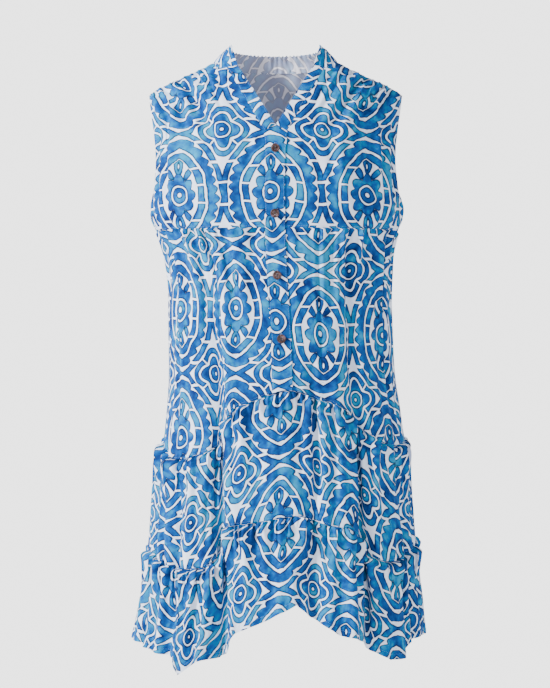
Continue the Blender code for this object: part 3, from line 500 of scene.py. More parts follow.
TIER_3_CREASES = Table(CREASE, (
    (-31, -0.790, -31, -0.940, -0.0060, 0.0050),
    (-26, -0.780, -26, -0.930, 0.0050, 0.0050),
    (36, -0.770, 37, -0.930, -0.0060, 0.0050),
    (31, -0.750, 31, -0.900, 0.0050, 0.0050),
    (-72, -0.780, -73, -0.915, -0.0040, 0.0060),
    (-60, -0.790, -60, -0.920, 0.0040, 0.0060),
    (-44, -0.795, -41, -0.930, -0.0044, 0.0050),
    (-36, -0.790, -36, -0.950, 0.0044, 0.0060),
    (-12, -0.725, -13, -0.880, 0.0036, 0.0070),
    (2, -0.715, 3, -0.850, 0.0036, 0.0080),
    (13, -0.725, 12, -0.870, -0.0034, 0.0060),
    (25, -0.730, 26, -0.890, 0.0034, 0.0070),
    (50, -0.785, 50, -0.930, 0.0040, 0.0070),
    (62, -0.780, 61, -0.910, -0.0040, 0.0060),
))


@dataclass(frozen=True)
class Gathering:
    """Small gathers that fall from a seam, uneven in spacing, length and depth.

    Attributes:
        spacing: Mean distance from one to the next, in metres.
        rise: How far the strongest stand out or lie in.
        length: Mean length below the seam.
        half_width: Mean half width.
        slant: Largest sideways run from top to foot.
        seed: Seed of the unevenness.
        eased_in: Distance below the seam over which they rise to their full depth.
    """

    spacing: float
    rise: float
    length: float
    half_width: float
    slant: float
    seed: int
    eased_in: float = 4 * MM

    JITTER = 0.35               # of the spacing
    RISES = (0.35, 1.0)         # least and greatest, as shares of the given values
    LENGTHS = (0.35, 1.7)
    WIDTHS = (0.7, 1.5)
    AT_SEAM = 0.25
    WIDENING = 0.6              # from top to foot

    def field(self, across: Array, below: Array) -> Array:
        """Returns the displacement at distances across the piece and below the seam."""
        chance = np.random.default_rng(self.seed)
        low, high = float(across.min()), float(across.max())
        count = max(int((high - low) / self.spacing), 1)
        order = np.arange(count)
        jitter = chance.uniform(-self.JITTER, self.JITTER, count)
        middles = low + (order + jitter + 0.5) * (high - low) / count
        signs = np.where(order % 2 == 0, 1.0, -1.0)
        rises = self.rise * chance.uniform(*self.RISES, count) * signs
        lengths = self.length * chance.uniform(*self.LENGTHS, count)
        widths = self.half_width * chance.uniform(*self.WIDTHS, count)
        slants = self.slant * chance.uniform(-1.0, 1.0, count)
        shift = np.zeros(across.shape)
        eased = smooth_step(below / self.eased_in + self.AT_SEAM)
        for middle, rise, length, width, slant in zip(middles, rises, lengths, widths, slants):
            along = np.clip(below / length, 0.0, 1.0)
            beside = (across - middle - slant * along) / (width * (1 + self.WIDENING * along))
            shift += rise * smooth_step(1.0 - along) * eased * np.exp(-beside**2)
        return shift


CHEST_GATHERS = Gathering(9 * MM, 3.2 * MM, 46 * MM, 2.6 * MM, 4 * MM, 11)
SHOULDER_GATHERS = Gathering(7.0 * MM, 6.4 * MM, 210 * MM, 2.0 * MM, 10 * MM, 13, 16 * MM)
SHOULDER_FALLS = Gathering(15 * MM, 9.0 * MM, 290 * MM, 4.2 * MM, 16 * MM, 19, 40 * MM)
TIER_GATHERS = Gathering(5.0 * MM, 6.6 * MM, 46 * MM, 2.0 * MM, 5 * MM, 14)
TIER_FALLS = Gathering(17 * MM, 8.0 * MM, 150 * MM, 6.2 * MM, 16 * MM, 15)
HEM_GATHERS = Gathering(5.0 * MM, 6.6 * MM, 46 * MM, 2.0 * MM, 5 * MM, 16)
HEM_FALLS = Gathering(17 * MM, 8.0 * MM, 165 * MM, 6.2 * MM, 16 * MM, 17)
BODY_FALLS = Gathering(22 * MM, 6.4 * MM, 300 * MM, 6.8 * MM, 18 * MM, 12)
COLLAR_GATHERS = Gathering(5.0 * MM, 1.9 * MM, 26 * MM, 1.9 * MM, 2 * MM, 18)


CREASE_START = (-0.06, 0.14)    # share of the crease's way down, and the run of easing in
CREASE_END = (1.08, 0.5)
WRINKLES = 14
WRINKLE_SHARE = 1 / 4           # keeps most of their sum within the rise
WRINKLE_LEAST = (18 * MM, 60 * MM, -1.0, 0.0)      # width, height, tilt and phase
WRINKLE_MOST = (55 * MM, 190 * MM, 1.0, math.tau)


def crease_field(creases: Array, angle: Array, height: Array, base: Array) -> Array:
    """Returns the displacement of listed creases, over a grid of angles and heights."""
    run = np.linalg.norm(np.gradient(base, axis=1), axis=-1)
    metres_per_degree = run / np.maximum(np.abs(np.gradient(angle, axis=1)), 1e-6)
    shift = np.zeros(angle.shape)
    for top_angle, top, foot_angle, foot, rise, half_width in creases:
        along = (top - height) / (top - foot)
        middle = top_angle + (foot_angle - top_angle) * np.clip(along, 0.0, 1.0)
        beside = turned_apart(angle, middle) * metres_per_degree / half_width
        fade = from_start(along, *CREASE_START) * to_end(along, *CREASE_END)
        shift += rise * fade * ridge(beside)
    return shift


def wrinkle_field(across: Array, up: Array, rise: float, seed: int) -> Array:
    """Returns a soft unevenness of the cloth, longer downwards than across."""
    chance = np.random.default_rng(seed)
    shift = np.zeros(across.shape)
    draws = chance.uniform(WRINKLE_LEAST, WRINKLE_MOST, (WRINKLES, len(WRINKLE_LEAST)))
    for wide, tall, tilt, phase in draws:
        shift += wave(across / wide + tilt * up / tall, 1.0, phase)
    return rise * shift * WRINKLE_SHARE


# ---------------------------------------------------------------- cloth shells


def arc_lengths(points: Array, axis: int) -> Array:
    """Returns the length along a grid of points from its first row or column."""
    steps = np.linalg.norm(np.diff(points, axis=axis), axis=-1)
    start = np.zeros_like(np.take(steps, [0], axis=axis))
    return np.concatenate([start, np.cumsum(steps, axis=axis)], axis=axis)


def across_folds(points: Array, widths: Array) -> Array:
    """Returns distances across a piece along its folds, scaled to its width in each row."""
    along = arc_lengths(points, 1)
    return along / along[:, -1:] * widths


def grid_normals(points: Array) -> Array:
    """Returns the outward normals of a grid with its rows upwards, its columns to the left."""
    return unit(np.cross(np.gradient(points, axis=1), np.gradient(points, axis=0)))


def raised(points: Array, shift: Array | float) -> Array:
    """Returns a grid of points moved outwards."""
    return points + np.asarray(shift)[..., None] * grid_normals(points)


def new_object(name: str, data: bpy.types.ID) -> Object:
    """Returns a new object in the scene."""
    made = bpy.data.objects.new(name, data)
    bpy.context.scene.collection.objects.link(made)
    return made


# Width and length that each piece is cut to, without its seams.
CUTS = {
    "front_yoke": (0.245, 0.330), "front_body": (0.330, 0.345), "back_body": (0.60, 0.62),
    "tier_2": (0.72, 0.190), "tier_3": (0.80, 0.175), "collar_stand": (0.56, 0.032),
    "neck_band": (0.022, 0.120), "placket": (0.034, 0.420),
}
SHAPED_AREAS = {"front_yoke": 0.058, "back_body": 0.30}
SHARP_ANGLE = 62
FINE_STEPS = 1500


class Face(Enum):
    """Material slots of a cloth shell."""

    RIGHT_SIDE = 0
    REVERSE = 1


@dataclass
class ClothPanel:
    """One cut piece of cloth, as a thin closed shell that stands for the CAD node of its name.

    Attributes:
        name: Name of the piece.
        outer: Grid of points of its right side.
        flat: Place of each of them on the flat cloth, in metres.
        cut: Width and length that the piece is cut to. Not used.
        held: How it is held. Not used.
        rests_on: Names of the pieces that it hangs from. Not used.
        area: Flat area where the cut isn't a rectangle. Not used.
        wall: Thickness.
    """

    name: str
    outer: Array
    flat: Array
    cut: tuple[float, float]
    held: str
    rests_on: tuple[str, ...]
    area: float | None = None
    wall: float = 0.8 * MM

    def build(self, materials: Sequence[Material]) -> Object:
        """Returns the finished object, with the materials of the right side and of the reverse."""
        points = np.concatenate([self.outer, raised(self.outer, -self.wall)]).reshape(-1, 3)
        quads, sides = self._quads(*self.outer.shape[:2])
        mesh = bpy.data.meshes.new(f"{self.name}_cloth")
        mesh.from_pydata(points.tolist(), [], quads.tolist())
        mesh.polygons.foreach_set("material_index", sides)
        corners = np.empty(len(mesh.loops), dtype=np.int32)
        mesh.loops.foreach_get("vertex_index", corners)
        places = np.tile(self.flat.reshape(-1, 2), (2, 1))[corners]
        mesh.uv_layers.new(name="cloth").data.foreach_set("uv", places.ravel())
        for material in materials:
            mesh.materials.append(material)
        mesh.shade_smooth()
        mesh.set_sharp_from_angle(angle=math.radians(SHARP_ANGLE))
        mesh.update()
        return new_object(mesh.name, mesh)

    @staticmethod
    def _quads(rows: int, columns: int) -> tuple[Array, Array]:
        """Returns the faces of the shell and the material slot of each."""
        index = np.arange(rows * columns).reshape(rows, columns)
        a, b, c, d = index[:-1, :-1], index[:-1, 1:], index[1:, 1:], index[1:, :-1]
        outside = np.stack([a, b, c, d], axis=-1).reshape(-1, 4)
        inside = outside[:, ::-1] + rows * columns
        rim = np.concatenate([index[0], index[1:, -1], index[-1, -2::-1], index[-2:0:-1, 0]])
        after = np.roll(rim, -1)
        edge = np.stack([after, rim, rim + rows * columns, after + rows * columns], axis=-1)
        sides = np.repeat([Face.RIGHT_SIDE.value, Face.REVERSE.value, Face.RIGHT_SIDE.value],
                          [len(outside), len(inside), len(edge)])
        return np.concatenate([outside, inside, edge]), sides.astype(np.int32)


def even_angles(first: float, last: float, height: float, spacing: float) -> Array:
    """Returns angles at the chest that lie about evenly round the garment at a height."""
    fine = np.linspace(first, last, FINE_STEPS)
    ring = FORM.cloth(fine, np.full(fine.shape, height - CHEST))
    length = arc_lengths(ring[None], 1)[0]
    count = int(length[-1] / spacing) + 1
    return np.interp(np.linspace(0.0, length[-1], count), length, fine)


# ---------------------------------------------------------------- front and back

FRONT_ROWS = 112
FRONT_SPACING = 2.4 * MM
FRONT_PRINT_SHIFT = (93 * MM, 20 * MM)      # keeps the ovals off the placket
FRONT_WRINKLE = 0.45 * MM
FRONT_SEED = 21
PLACKET_PULL = 8.0                          # degrees over which the grid follows the placket
PLACKET_CALM = (4.0, 0.15)                  # degrees to the full folds, and their least share
BACK_LOW_ROWS = 100
BACK_HIGH_ROWS = 96
BACK_SPACING = 2.9 * MM
BACK_CROWDING = 0.8                         # draws the rows closer together towards the top
BACK_WRINKLE = 0.5 * MM
BACK_SEED = 31
BACK_FALLS_START = 60 * MM                  # above the chest
BACK_CALM_EDGE = 0.03
BAND_TOP_RISE = 8 * MM
YOKE_ROWS = 118
YOKE_COLUMNS = 92
YOKE_LEVELS = (0.0, 0.085, 0.25, 0.42, 0.57, 0.70, 0.81, 0.90, 0.96, 1.0)
YOKE_MARKS = (4, 7, 8, 9)                   # rows of levels at the corners of the inner edge
YOKE_WRINKLE = 0.5 * MM
YOKE_SEED = 41
# Shares of the way from the neck to the armhole where the folds start or end, with their runs.
FOLDS_START = (0.02, 0.10)
GATHERS_END = (0.72, 0.15)
FALLS_END = (0.95, 0.15)
FACING = (0.8, 0.14)                        # forward part of the normal, least share of the folds
NECK_CALM = 0.06
ARMHOLE_CALM = (0.05, 0.3)
YOKE_CALM = 0.1
SEAM_DIP = 0.5 * MM
SEAM_REACH = 4 * MM
TIER_SEAM_DIP = 0.8 * MM
TIER_SEAM_REACH = 5 * MM


def body_grid(first: float, last: float, spacing: float, rows: int) -> tuple[Array, ...]:
    """Returns the grid of the body from the first tier seam up to the chest.

    Its parts are the angles at the chest, all angles, all heights and the heights of the tier seam.
    """
    start = even_angles(first, last, FIRST_SEAM, spacing)
    share = np.linspace(1.0, 0.0, rows)[:, None]
    seam_angle = FORM.drifted(start, SEAM_2_DRIFT)
    seam = FORM.hang("seam_2", seam_angle)
    return start, start + (seam_angle - start) * share, CHEST + (seam - CHEST) * share, seam


def front_body(word: str, side: int) -> ClothPanel:
    """Returns one half of the front between the chest seam and the first tier."""
    edge = float(FORM.placket_angle(side, FORM.hang("seam_2", 0.0)))
    ends = (edge, 90.0) if side > 0 else (-90.0, edge)
    start, angle, height, seam = body_grid(*ends, FRONT_SPACING, FRONT_ROWS)
    at = 0 if side > 0 else -1
    near = near_to(np.abs(start - start[at]), PLACKET_PULL)
    angle = angle + (FORM.placket_angle(side, height[:, [at]]) - angle[:, [at]]) * near
    base = FORM.cloth(angle, height - CHEST)
    across = arc_lengths(base[:1], 1) + 0 * height
    below = CHEST - height
    shift = crease_field(BODY_CREASES.rows, angle, height, base)
    shift += CHEST_GATHERS.field(across, below) + BODY_FALLS.field(across, below)
    shift += wrinkle_field(across, height, FRONT_WRINKLE, FRONT_SEED + side)
    shift -= TIER_SEAM_DIP * near_to(height - seam, TIER_SEAM_REACH)
    shift -= SEAM_DIP * near_to(below, SEAM_REACH)
    reach, least = PLACKET_CALM
    calm = smooth_step(np.abs(angle - FORM.placket_angle(side, height)) / reach)
    outer = raised(base, shift * lifted(calm, least))
    across = across_folds(outer, across[:, -1:])
    over, up = FRONT_PRINT_SHIFT
    flat = np.stack([across - across[:, [at]] + side * over, height + side * up], axis=-1)
    above = (f"front_yoke_{word}",)
    return ClothPanel(f"front_body_{word}", outer, flat, CUTS["front_body"], "hung", above)


def back_body() -> ClothPanel:
    """Returns the back, one piece from the first tier to the shoulder seams."""
    start, angle, height, seam = body_grid(90.0, 270.0, BACK_SPACING, BACK_LOW_ROWS)
    across = arc_lengths(FORM.cloth(angle[:1], height[:1] - CHEST), 1)[0]
    across = across - across.mean()
    shares = (start - start[0]) / (start[-1] - start[0])
    levels = np.linspace(0.0, 1.0, BACK_HIGH_ROWS)[1:] ** BACK_CROWDING
    upper = [upper_back_row(level, shares) for level in levels]
    angle = np.concatenate([angle, np.stack([row[0] for row in upper])])
    level = np.concatenate([height - CHEST, np.stack([row[1] for row in upper])])
    base = FORM.cloth(angle, level)
    width = arc_lengths(base, 1)[:, -1]
    chest_row = BACK_LOW_ROWS - 1
    scale = np.where(np.arange(len(base)) > chest_row, width / width[chest_row], 1.0)[:, None]
    up = arc_lengths(FORM.bare(angle, level), 0)
    height = FORM.height(angle, level)
    creases = np.concatenate([BODY_CREASES.rows, YOKE_CREASES.rows])
    shift = crease_field(creases, angle, height, base)
    shift += BODY_FALLS.field(across * scale, np.maximum(CHEST + BACK_FALLS_START - height, 0.0))
    shift += wrinkle_field(across * scale, height, BACK_WRINKLE, BACK_SEED)
    shift -= TIER_SEAM_DIP * near_to(height - seam, TIER_SEAM_REACH)
    outer = raised(base, shift * smooth_step(np.minimum(shares, 1 - shares) / BACK_CALM_EDGE))
    width = (across[-1] - across[0]) * scale
    flat = np.stack([across_folds(outer, width) - width / 2, up - up[chest_row]], axis=-1)
    yokes = ("front_yoke_left", "front_yoke_right")
    return ClothPanel("back_body", outer, flat, CUTS["back_body"], "hung", yokes,
                      SHAPED_AREAS["back_body"])


def upper_back_row(level: float, shares: Array) -> tuple[Array, Array]:
    """Returns the angles and levels of a row of the back above the chest."""
    edge = float(armhole_angle(level, ARMHOLE_BACK, BACK_SWELL, "back"))
    corner = float(FORM.angle(NECK_HALF, NECK_POINT))
    wanted = (90.0 - corner - edge) / (180.0 - 2 * edge)
    near, far = np.argmin(np.abs(shares - wanted)), np.argmin(np.abs(shares - 1 + wanted))
    moved = smooth_step(level)
    now = (0.0, shares[near], shares[far], 1.0)
    then = (0.0, shares[near] + (wanted - shares[near]) * moved,
            shares[far] + (1 - wanted - shares[far]) * moved, 1.0)
    angle = 90.0 + edge + (180.0 - 2 * edge) * np.interp(shares, now, then)
    out = FORM.shoulder_reach(angle)
    return angle, level * np.where(out < NECK_HALF, FORM.level(angle, neck_height(out)), 1.0)


def armhole_angle(level: Array, reach: float, swell: float, depth_name: str) -> Array:
    """Returns the angle from the side at which the armhole's edge lies at a level."""
    level = np.asarray(level, dtype=float)
    height = FORM.height(90.0, level)
    share = np.clip((height - UNDERARM) / (SHOULDER_TIP - UNDERARM), 0.0, 1.0)
    edge = reach * np.sin(math.pi * share**ARMHOLE_LOW)
    depth = FORM.section(depth_name, height) * np.maximum(1 - level**swell, 1e-9) ** (1 / swell)
    along = np.clip(edge / depth, 0.0, ARMHOLE_DEEPEST)
    return 90.0 - np.degrees(np.arccos(along ** (ROUNDNESS / 2)))


def band_seam() -> tuple[tuple[float, float], tuple[float, float]]:
    """Returns the foot and the top of the seam between a neck band and its yoke."""
    run = Vector((V_TOP[0] - V_POINT[0], V_TOP[1] - V_POINT[1])).normalized()
    off = (run.y * NECK_BAND, -run.x * NECK_BAND)
    foot = (V_POINT[0] + off[0], V_POINT[1] + off[1])
    return foot, (V_TOP[0] + off[0], V_TOP[1] + off[1] + BAND_TOP_RISE)


def yoke_edge(side: int, rows: Array) -> tuple[Array, Array]:
    """Returns angles and levels up the placket, the neck band and the collar to the neck point."""
    foot, top = band_seam()
    outs, heights = zip(foot, top, SIDE_FRONT, (NECK_HALF, NECK_POINT))
    height = np.interp(rows, (0, *YOKE_MARKS), (CHEST, *heights))
    out = side * np.interp(rows, YOKE_MARKS, outs)
    below = rows < YOKE_MARKS[0]
    out[below] = FORM.placket_out(side, height[below])
    angle = FORM.angle(out, height)
    return angle, FORM.level(angle, height)


def front_yoke(word: str, side: int) -> ClothPanel:
    """Returns one front yoke, from the chest seam to the shoulder seam."""
    rows = np.linspace(0.0, len(YOKE_LEVELS) - 1.0, YOKE_ROWS)
    level = np.interp(rows, range(len(YOKE_LEVELS)), YOKE_LEVELS)
    armhole = side * (90.0 - armhole_angle(level, ARMHOLE_FRONT, CHEST_SWELL, "front"))
    start, end = (yoke_edge(side, rows), (armhole, level))[::side]
    shares = np.linspace(0.0, 1.0, YOKE_COLUMNS)
    angle, level = (a[:, None] + (b - a)[:, None] * shares for a, b in zip(start, end))
    at, from_neck = (0, shares) if side > 0 else (-1, 1 - shares)
    base = FORM.cloth(angle, level)
    height = FORM.height(angle, level)
    up, across = arc_lengths(base, 0), arc_lengths(base, 1)
    width = across[:, -1:]
    across = across - across[:, [at]]
    below = up[-1] - up
    from_seam = np.broadcast_to(across[-1], across.shape)
    forward, least = FACING
    facing = lifted(smooth_step(-grid_normals(base)[..., 1] / forward), least)
    shift = SHOULDER_GATHERS.field(from_seam, below) * to_end(from_neck, *GATHERS_END)
    shift += SHOULDER_FALLS.field(from_seam, below) * to_end(from_neck, *FALLS_END)
    shift *= from_start(from_neck, *FOLDS_START) * facing
    shift += crease_field(YOKE_CREASES.rows, angle, height, base)
    shift += wrinkle_field(across, height, YOKE_WRINKLE, YOKE_SEED + side)
    shift -= SEAM_DIP * near_to(height - CHEST, SEAM_REACH)
    reach, least = ARMHOLE_CALM
    calm = smooth_step(from_neck / NECK_CALM) * lifted(to_end(from_neck, 1.0, reach), least)
    outer = raised(base, shift * lifted(calm, YOKE_CALM))
    across = across_folds(outer, width)
    across = across - across[:, [at]]
    inner = base[:, [at], 0] - FORM.section("centre", height[:, [at]])
    flat = np.stack([across + inner, height + 0.5 * (up - height + height[:1])], axis=-1)
    return ClothPanel(f"front_yoke_{word}", outer, flat, CUTS["front_yoke"], "hung",
                      ("back_body",), SHAPED_AREAS["front_yoke"])


# ---------------------------------------------------------------- tiers


@dataclass
class Tier:
    """A gathered tier, cut in front and back.

    Attributes:
        name: Name of the tier.
        top: Seam that it is gathered to.
        bottom: Seam or hem at its lower edge.
        drifts: Shares of the folds' drift at its two edges.
        gathers: Small gathers and longer falls below the seam.
        creases: Creases listed one by one.
        above: Names of the front and back pieces that it hangs from.
        seed: Seed of its unevenness.
    """

    name: str
    top: str
    bottom: str
    drifts: tuple[float, float]
    gathers: tuple[Gathering, Gathering]
    creases: Table
    above: tuple[tuple[str, ...], tuple[str, ...]]
    seed: int

    ROWS = 78
    SPACING = 2.0 * MM
    FULLNESS = 1.14
    TUCK = 6 * MM
    TUCK_ROWS = 3
    TUCK_DROP = 0.6 * MM
    PUFF = 5.2 * MM
    PUFF_RISE = 10 * MM
    PUFF_LENGTH = 70 * MM
    TUCKED_IN = 2.6 * MM
    CALM_EDGE = 8 * MM
    WRINKLE = 0.7 * MM
    FOOT_DIP = 1.0 * MM
    SPACED_AT = 60.0            # angle whose lower edge sets the spacing of the columns
    HEM_TURN = 9 * MM
    TURN_STEP = (0.5 * MM, 1.5 * MM)                    # height and run
    SWAY = (1.8 * MM, 70 * MM, 47 * MM, 29 * MM)        # rise, reach above the hem, two lengths
    SHORT_SHARE = 0.6
    PUCKER = (0.35 * MM, 7 * MM)                        # rise, and both length and reach

    def panel(self, word: str, first: float, last: float, above: tuple[str, ...]) -> ClothPanel:
        """Returns the half between two angles."""
        chest = even_angles(first, last, FORM.hang(self.bottom, self.SPACED_AT), self.SPACING)
        start, end = (FORM.drifted(chest, drift) for drift in self.drifts)
        tuck = np.linspace(0.0, self.TUCK, self.TUCK_ROWS + 1)[1:]
        share = np.concatenate([np.linspace(1.0, 0.0, self.ROWS), 0 * tuck])[:, None]
        hidden = np.concatenate([np.zeros(self.ROWS), tuck])[:, None]
        seam, foot = FORM.hang(self.top, start), FORM.hang(self.bottom, end)
        angle = start + (end - start) * share
        height = seam * (1 - share) + foot * share + hidden
        base = FORM.cloth(angle, height - CHEST)
        across = arc_lengths(base[:1], 1) + 0 * share
        below = (seam - foot) * share
        shift = sum(gathering.field(across, below) for gathering in self.gathers)
        shift += crease_field(self.creases.rows, angle, height, base)
        shift += wrinkle_field(across, height, self.WRINKLE, self.seed)
        shift += self.PUFF * smooth_step(below / self.PUFF_RISE) * near_to(below, self.PUFF_LENGTH)
        shift -= self.TUCKED_IN * near_to(below, self.TUCK)
        if self.bottom == "hem":
            shift += self._flutter(across, height - foot)
        else:
            shift -= self.FOOT_DIP * near_to(height - foot, TIER_SEAM_REACH)
        to_edge = np.minimum(across - across.min(), across.max() - across)
        shift = shift * smooth_step(to_edge / self.CALM_EDGE)
        outer = raised(base, shift - self.TUCK_DROP * (hidden > 0))
        width = across_folds(outer, across[:, -1:] * self.FULLNESS)
        flat = np.stack([width - width[:, -1:] / 2, -below + hidden], axis=-1)
        return ClothPanel(f"{self.name}_{word}", outer, flat, CUTS[self.name], "gathered", above)

    def panels(self) -> list[ClothPanel]:
        """Returns the front and the back."""
        halves = (("front", -90.0, 90.0), ("back", 90.0, 270.0))
        return [self.panel(*half, above) for half, above in zip(halves, self.above)]

    def _flutter(self, across: Array, over: Array) -> Array:
        """Returns the waving of the hem, and the step of its turned edge."""
        rise, reach, long, short = self.SWAY
        sway = rise * (wave(across, long, self.seed) + self.SHORT_SHARE * wave(across, short))
        rise, fine = self.PUCKER
        pucker = rise * wave(across, fine) * near_to(np.abs(over - self.HEM_TURN), fine)
        rise, run = self.TURN_STEP
        return sway * near_to(over, reach) + pucker + rise * to_end(over, self.HEM_TURN, run)


TIERS = (
    Tier("tier_2", "seam_2", "seam_3", (SEAM_2_DRIFT, SEAM_3_DRIFT), (TIER_GATHERS, TIER_FALLS),
         TIER_2_CREASES, (("front_body_left", "front_body_right"), ("back_body",)), 51),
    Tier("tier_3", "seam_3", "hem", (SEAM_3_DRIFT, 1.0), (HEM_GATHERS, HEM_FALLS),
         TIER_3_CREASES, (("tier_2_front",), ("tier_2_back",)), 61),
)


# ---------------------------------------------------------------- collar, bands and placket

COLLAR_TOP_HALF = 77.5 * MM
COLLAR_TOP_BACK = 62 * MM
COLLAR_TOP = 34 * MM
COLLAR_END = (70.5 * MM, -44 * MM)
COLLAR_BACK_DROP = 4 * MM
COLLAR_SWELL = 1.5 * MM
COLLAR_WAVE = (1.6 * MM, 8 * MM, 21 * MM)   # rise, length and slow change of its upper edge
COLLAR_ROWS = 18
NECK_STEPS = (28, 61)                       # on each half of the front, of the back
DOUBLED_WALL = 1.4 * MM
BAND_GRID = (46, 12)
BAND_SWELL = 0.9 * MM
BAND_WRINKLE = 0.25 * MM
BAND_SEED = 71
PLACKET_GRID = (170, 17)
PLACKET_SWELL = 0.35 * MM
PLACKET_WRINKLE = 0.28 * MM
PLACKET_SEED = 81
BAND_PRINT_SHIFT = (20 * MM, 50 * MM)
BAND_GAP = 0.4 * MM         # from the centre line to each band at the point of the V


def neckline() -> tuple[Array, int]:
    """Returns the points that carry the collar, and how many lie before each neck point."""
    outs, heights = zip(V_TOP, band_seam()[1], SIDE_FRONT, (NECK_HALF, NECK_POINT))
    steps = np.linspace(0.0, 3.0, NECK_STEPS[0])
    half_front = FORM.front(np.interp(steps, range(4), outs), np.interp(steps, range(4), heights))
    out = NECK_HALF * np.cos(np.radians(np.linspace(0.0, 90.0, NECK_STEPS[1])[1:]))
    height = neck_height(out)
    angle = 180.0 - FORM.angle(out, height)
    half = np.concatenate([half_front, FORM.cloth(angle, FORM.level(angle, height))])
    other = half[::-1][1:].copy()
    other[:, 0] = 2 * FORM.section("centre", 0.0) - other[:, 0]
    return np.concatenate([half, other]), len(steps) - 1


def collar() -> ClothPanel:
    """Returns the stand collar, with its uneven, softly gathered upper edge."""
    base, front_steps = neckline()
    last = len(base) - 1
    end_turn = 180.0 - math.degrees(math.asin(COLLAR_END[0] / COLLAR_TOP_HALF))
    marks = (0, front_steps, last - front_steps, last)
    turn = np.radians(np.interp(np.arange(last + 1), marks, (-end_turn, -90.0, 90.0, end_turn)))
    along = np.cos(turn)
    depth = np.where(along > 0, COLLAR_TOP_BACK, COLLAR_END[1] / math.cos(math.radians(end_turn)))
    top = np.stack([
        FORM.section("centre", 0.0) - COLLAR_TOP_HALF * np.sin(turn),
        depth * along,
        COLLAR_TOP - COLLAR_BACK_DROP * np.clip(along, 0.0, 1.0),
    ], axis=-1)
    share = np.linspace(0.0, 1.0, COLLAR_ROWS)[:, None]
    grid = base + (top - base) * share[..., None]
    across = arc_lengths(grid[:1], 1) + 0 * share
    up = arc_lengths(grid, 0)
    shift = COLLAR_SWELL * np.sin(math.pi * share)
    shift = shift + COLLAR_GATHERS.field(across, up)
    shift += COLLAR_GATHERS.field(across[:, ::-1], up[-1] - up)
    rise, length, change = COLLAR_WAVE
    grid[..., 2] += rise * share**2 * wave(across, length) * np.cos(across / change)
    flat = np.stack([across - across.mean(), up], axis=-1)
    return ClothPanel("collar_stand", raised(grid, shift), flat, CUTS["collar_stand"], "folded",
                      ("back_body",), wall=DOUBLED_WALL)


def neck_band(word: str, side: int) -> ClothPanel:
    """Returns the band along one side of the V."""
    foot, top = band_seam()
    steps = np.linspace(0.0, 1.0, BAND_GRID[0])[:, None]
    share = np.linspace(0.0, 1.0, BAND_GRID[1])
    inner = [a + (b - a) * steps for a, b in zip(V_POINT, V_TOP)]
    inner[0] = inner[0] + BAND_GAP
    outer = [a + (b - a) * steps for a, b in zip(foot, top)]
    out, height = ((a + (b - a) * share)[:, ::side] for a, b in zip(inner, outer))
    base = FORM.front(side * out, height)
    across, up = arc_lengths(base, 1), arc_lengths(base, 0)
    from_edge = np.clip(share if side > 0 else 1 - share, 0.03, 1.0)
    shift = BAND_SWELL * np.sin(math.pi * from_edge) ** 0.5
    shift = shift + wrinkle_field(across, up, BAND_WRINKLE, BAND_SEED + side)
    flat = np.stack([across + side * BAND_PRINT_SHIFT[0], up + BAND_PRINT_SHIFT[1]], axis=-1)
    return ClothPanel(f"neck_band_{word}", raised(base, shift), flat, CUTS["neck_band"], "folded",
                      (f"front_yoke_{word}",), wall=DOUBLED_WALL)


def placket(word: str, proud: float, width_share: float, drop: float, wall: float) -> ClothPanel:
    """Returns one of the two strips down the centre front, that far proud of the cloth."""
    foot = band_seam()[0]
    share = np.linspace(-1.0, 1.0, PLACKET_GRID[1])
    tops = foot[1] + (V_POINT[1] - foot[1]) * (1 - np.abs(share)) - drop
    bottoms = FORM.hang("seam_2", FORM.placket_angle(1, FORM.hang("seam_2", 0.0)) * share)
    height = bottoms + (tops - bottoms) * np.linspace(0.0, 1.0, PLACKET_GRID[0])[:, None]
    base = FORM.front(FORM.placket_out(share * width_share, height), height, proud)
    across, up = arc_lengths(base, 1), arc_lengths(base, 0)
    shift = wrinkle_field(across * 1.5, up, PLACKET_WRINKLE, PLACKET_SEED)
    shift = shift + PLACKET_SWELL * np.sin(math.pi * (share + 1) / 2) ** 0.5
    flat = np.stack([across - PLACKET_HALF, height], axis=-1)
    return ClothPanel(f"placket_{word}", raised(base, shift), flat, CUTS["placket"], "folded",
                      ("front_yoke_left",), wall=wall)


def all_panels() -> list[ClothPanel]:
    """Returns every piece of cloth."""
    return [
        *(front_yoke(word, side) for word, side in SIDES),
        *(front_body(word, side) for word, side in SIDES),
        back_body(),
        *(panel for tier in TIERS for panel in tier.panels()),
        collar(),
        *(neck_band(word, side) for word, side in SIDES),
        placket("under", proud=0.0, width_share=1.0, drop=0.3 * MM, wall=1.0 * MM),
        placket("over", proud=1.9 * MM, width_share=0.97, drop=3 * MM, wall=1.2 * MM),
    ]


# ---------------------------------------------------------------- node trees


